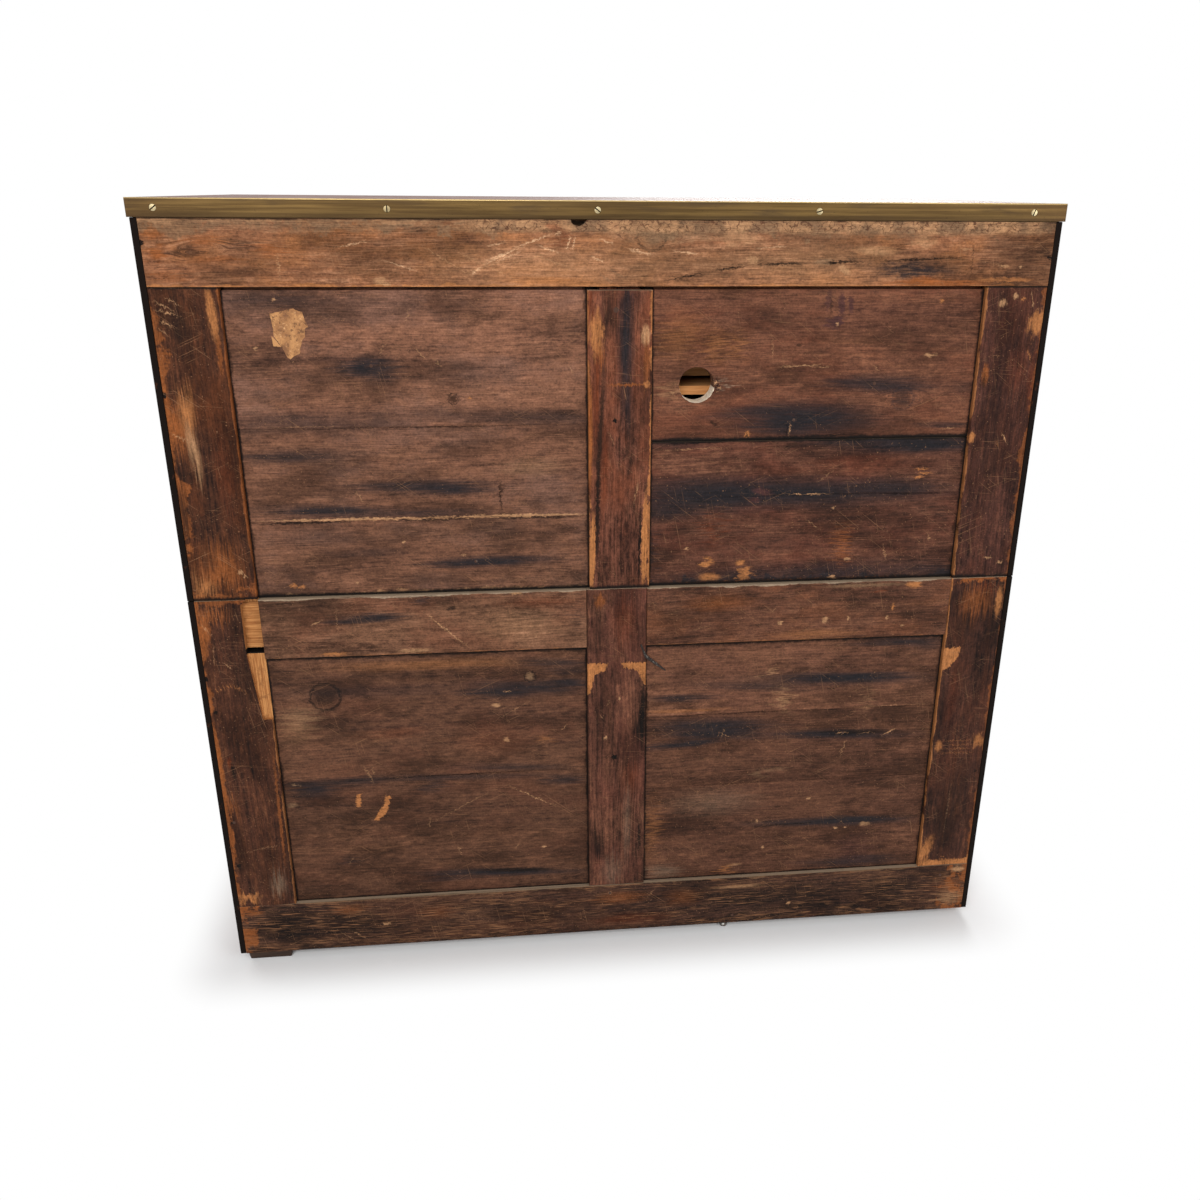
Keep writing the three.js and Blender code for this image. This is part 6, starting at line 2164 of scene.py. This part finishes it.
@dataclass
class Feet:
    """The foot blocks and the steel glide."""

    nodes: Nodes
    body: str = "lower_case"

    def build(self) -> None:
        """Builds the feet."""
        for index, node in enumerate(("foot_front_left", "foot_front_right", "foot_rear_right")):
            block = softened(merged(self.nodes[node]), 1.6, 3)
            wood = PolishedWood(f"{node}_wood", Grain.ACROSS, 161.0 + index, shade(42, 29, 22), shade(78, 55, 41))
            added(self.body, block, wood.dress(), f"{node}_block", node)
        glide = softened(merged(self.nodes["rear_glide"]), 0.4, 2, 20)
        iron = OldIron("glide_steel", 166.0, rusty=0.35).dress()
        added(self.body, glide, iron, "rear_glide_domed", "rear_glide")


@dataclass
class Studio:
    """The floor, the light and the camera."""

    eye: Triple = (0.1128, 1.4391, 0.9652)
    right: Triple = (-0.9940, 0.1090, 0.0077)
    up: Triple = (-0.0320, -0.3569, 0.9336)
    forward: Triple = (-0.1044, -0.9278, -0.3583)
    lens: float = 32.19
    shift: Point = (-0.0299, 0.0003)
    ambient: float = 0.34
    floor_reach: float = 8.0
    shadow_start: float = 0.0
    shadow_end: float = 95.0
    lamp_size: float = 2.2
    key: float = 92.0
    fill: float = 40.0

    def build(self) -> None:
        """Builds the whole studio."""
        self.camera()
        self.floor()
        self.world()
        self.lamp("key", Vector((1.1, 3.4, 2.5)), self.key)
        self.lamp("rear_fill", Vector((-2.4, 2.6, 1.6)), self.fill)
        self.lamp("front_key", Vector((-1.2, -3.4, 2.6)), self.key)
        self.lamp("front_fill", Vector((2.6, -2.4, 1.6)), self.fill)

    def camera(self) -> None:
        """Sets the camera where the photograph was taken from."""
        data = bpy.data.cameras.new("camera")
        data.sensor_width = 36.0
        data.lens = self.lens
        data.shift_x, data.shift_y = self.shift
        data.clip_start = 0.02
        thing = bpy.data.objects.new("camera", data)
        axes = Matrix((self.right, self.up, tuple(-part for part in self.forward))).transposed().normalized()
        thing.matrix_world = Matrix.Translation(self.eye) @ axes.to_4x4()
        bpy.context.scene.collection.objects.link(thing)
        bpy.context.scene.camera = thing

    def floor(self) -> None:
        """Lays a pale floor that meets the background without a line."""
        net = material_net("pale_floor")
        x, y, _ = net.axes(net.place())
        beyond = [net.maths("MAXIMUM", abs(part) - half, 0.0) for part, half in ((x, 500), (y, 230))]
        distance = net.vector("LENGTH", net.joined(*beyond, 0.0))
        far = net.smooth(distance, self.shadow_start, self.shadow_end) * net.seen()
        grain = net.cloud(net.place(), 30, 1.0, 2.0)
        colour = net.blend(grain, (0.9, 0.9, 0.9, 1), (0.93, 0.93, 0.93, 1))
        plain = net.make("BsdfDiffuse", {"Color": colour})
        white = net.make("Emission", {"Color": WHITE, "Strength": 1.0})
        net.make("OutputMaterial", {"Surface": net.make("MixShader", {0: far, 1: plain, 2: white})})
        mesh = bmesh.new()
        bmesh.ops.create_grid(mesh, x_segments=8, y_segments=8, size=self.floor_reach)
        finished(mesh, "floor", net.owner)

    def world(self) -> None:
        """Makes the background white where it is seen, and softer where it lights."""
        world = bpy.data.worlds.new("studio")
        bpy.context.scene.world = world
        net = Net(world)
        soft = net.make("Background", {"Color": WHITE, "Strength": self.ambient})
        white = net.make("Background", {"Color": WHITE})
        net.make("OutputWorld", {"Surface": net.make("MixShader", {0: net.seen(), 1: soft, 2: white})})

    def lamp(self, name: str, place: Vector, power: float) -> None:
        """Hangs a large soft lamp that shines on the chest.

        Args:
            name: Its name.
            place: Where it hangs.
            power: Its power, in watts.
        """
        data = bpy.data.lights.new(name, "AREA")
        data.shape = "DISK"
        data.size = self.lamp_size
        data.energy = power
        thing = bpy.data.objects.new(name, data)
        aim = Vector((0, 0, 0.5)) - place
        thing.matrix_world = Matrix.Translation(place) @ aim.to_track_quat("-Z", "Y").to_matrix().to_4x4()
        bpy.context.scene.collection.objects.link(thing)


def main() -> None:
    """Builds the studio and dresses the chest, sub-assembly by sub-assembly."""
    logging.basicConfig(level=logging.INFO, format="%(message)s")
    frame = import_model()
    nodes: Nodes = frame["nodes"]
    bpy.context.scene.view_settings.view_transform = "Standard"
    Studio().build()
    UpperBack(nodes).build()
    LowerBack(nodes).build()
    CaseBoards(nodes).build()
    # The screws' slots are painted dark: dirt together with painted shade.
    grime_and_shade = AgedBrass("screw_slot_grime_and_shade", 131.0, *GRIME_AND_SHADE).dress()
    CaseTop(nodes, grime_and_shade).build()
    for index, (name, pulls, lock_x) in enumerate(DRAWERS):
        DrawerFront(name, pulls, lock_x, nodes, grime_and_shade, 171.0 + 4 * index).build()
    for index, (case, side) in enumerate((("lower", -1), ("lower", 1), ("upper", -1), ("upper", 1))):
        name = f"{case}_handle_{'left' if side < 0 else 'right'}"
        CarryingHandle(name, f"{case}_case", side, nodes, grime_and_shade, 201.0 + 3 * index).build()
    Feet(nodes).build()


if __name__ == "__main__":
    main()
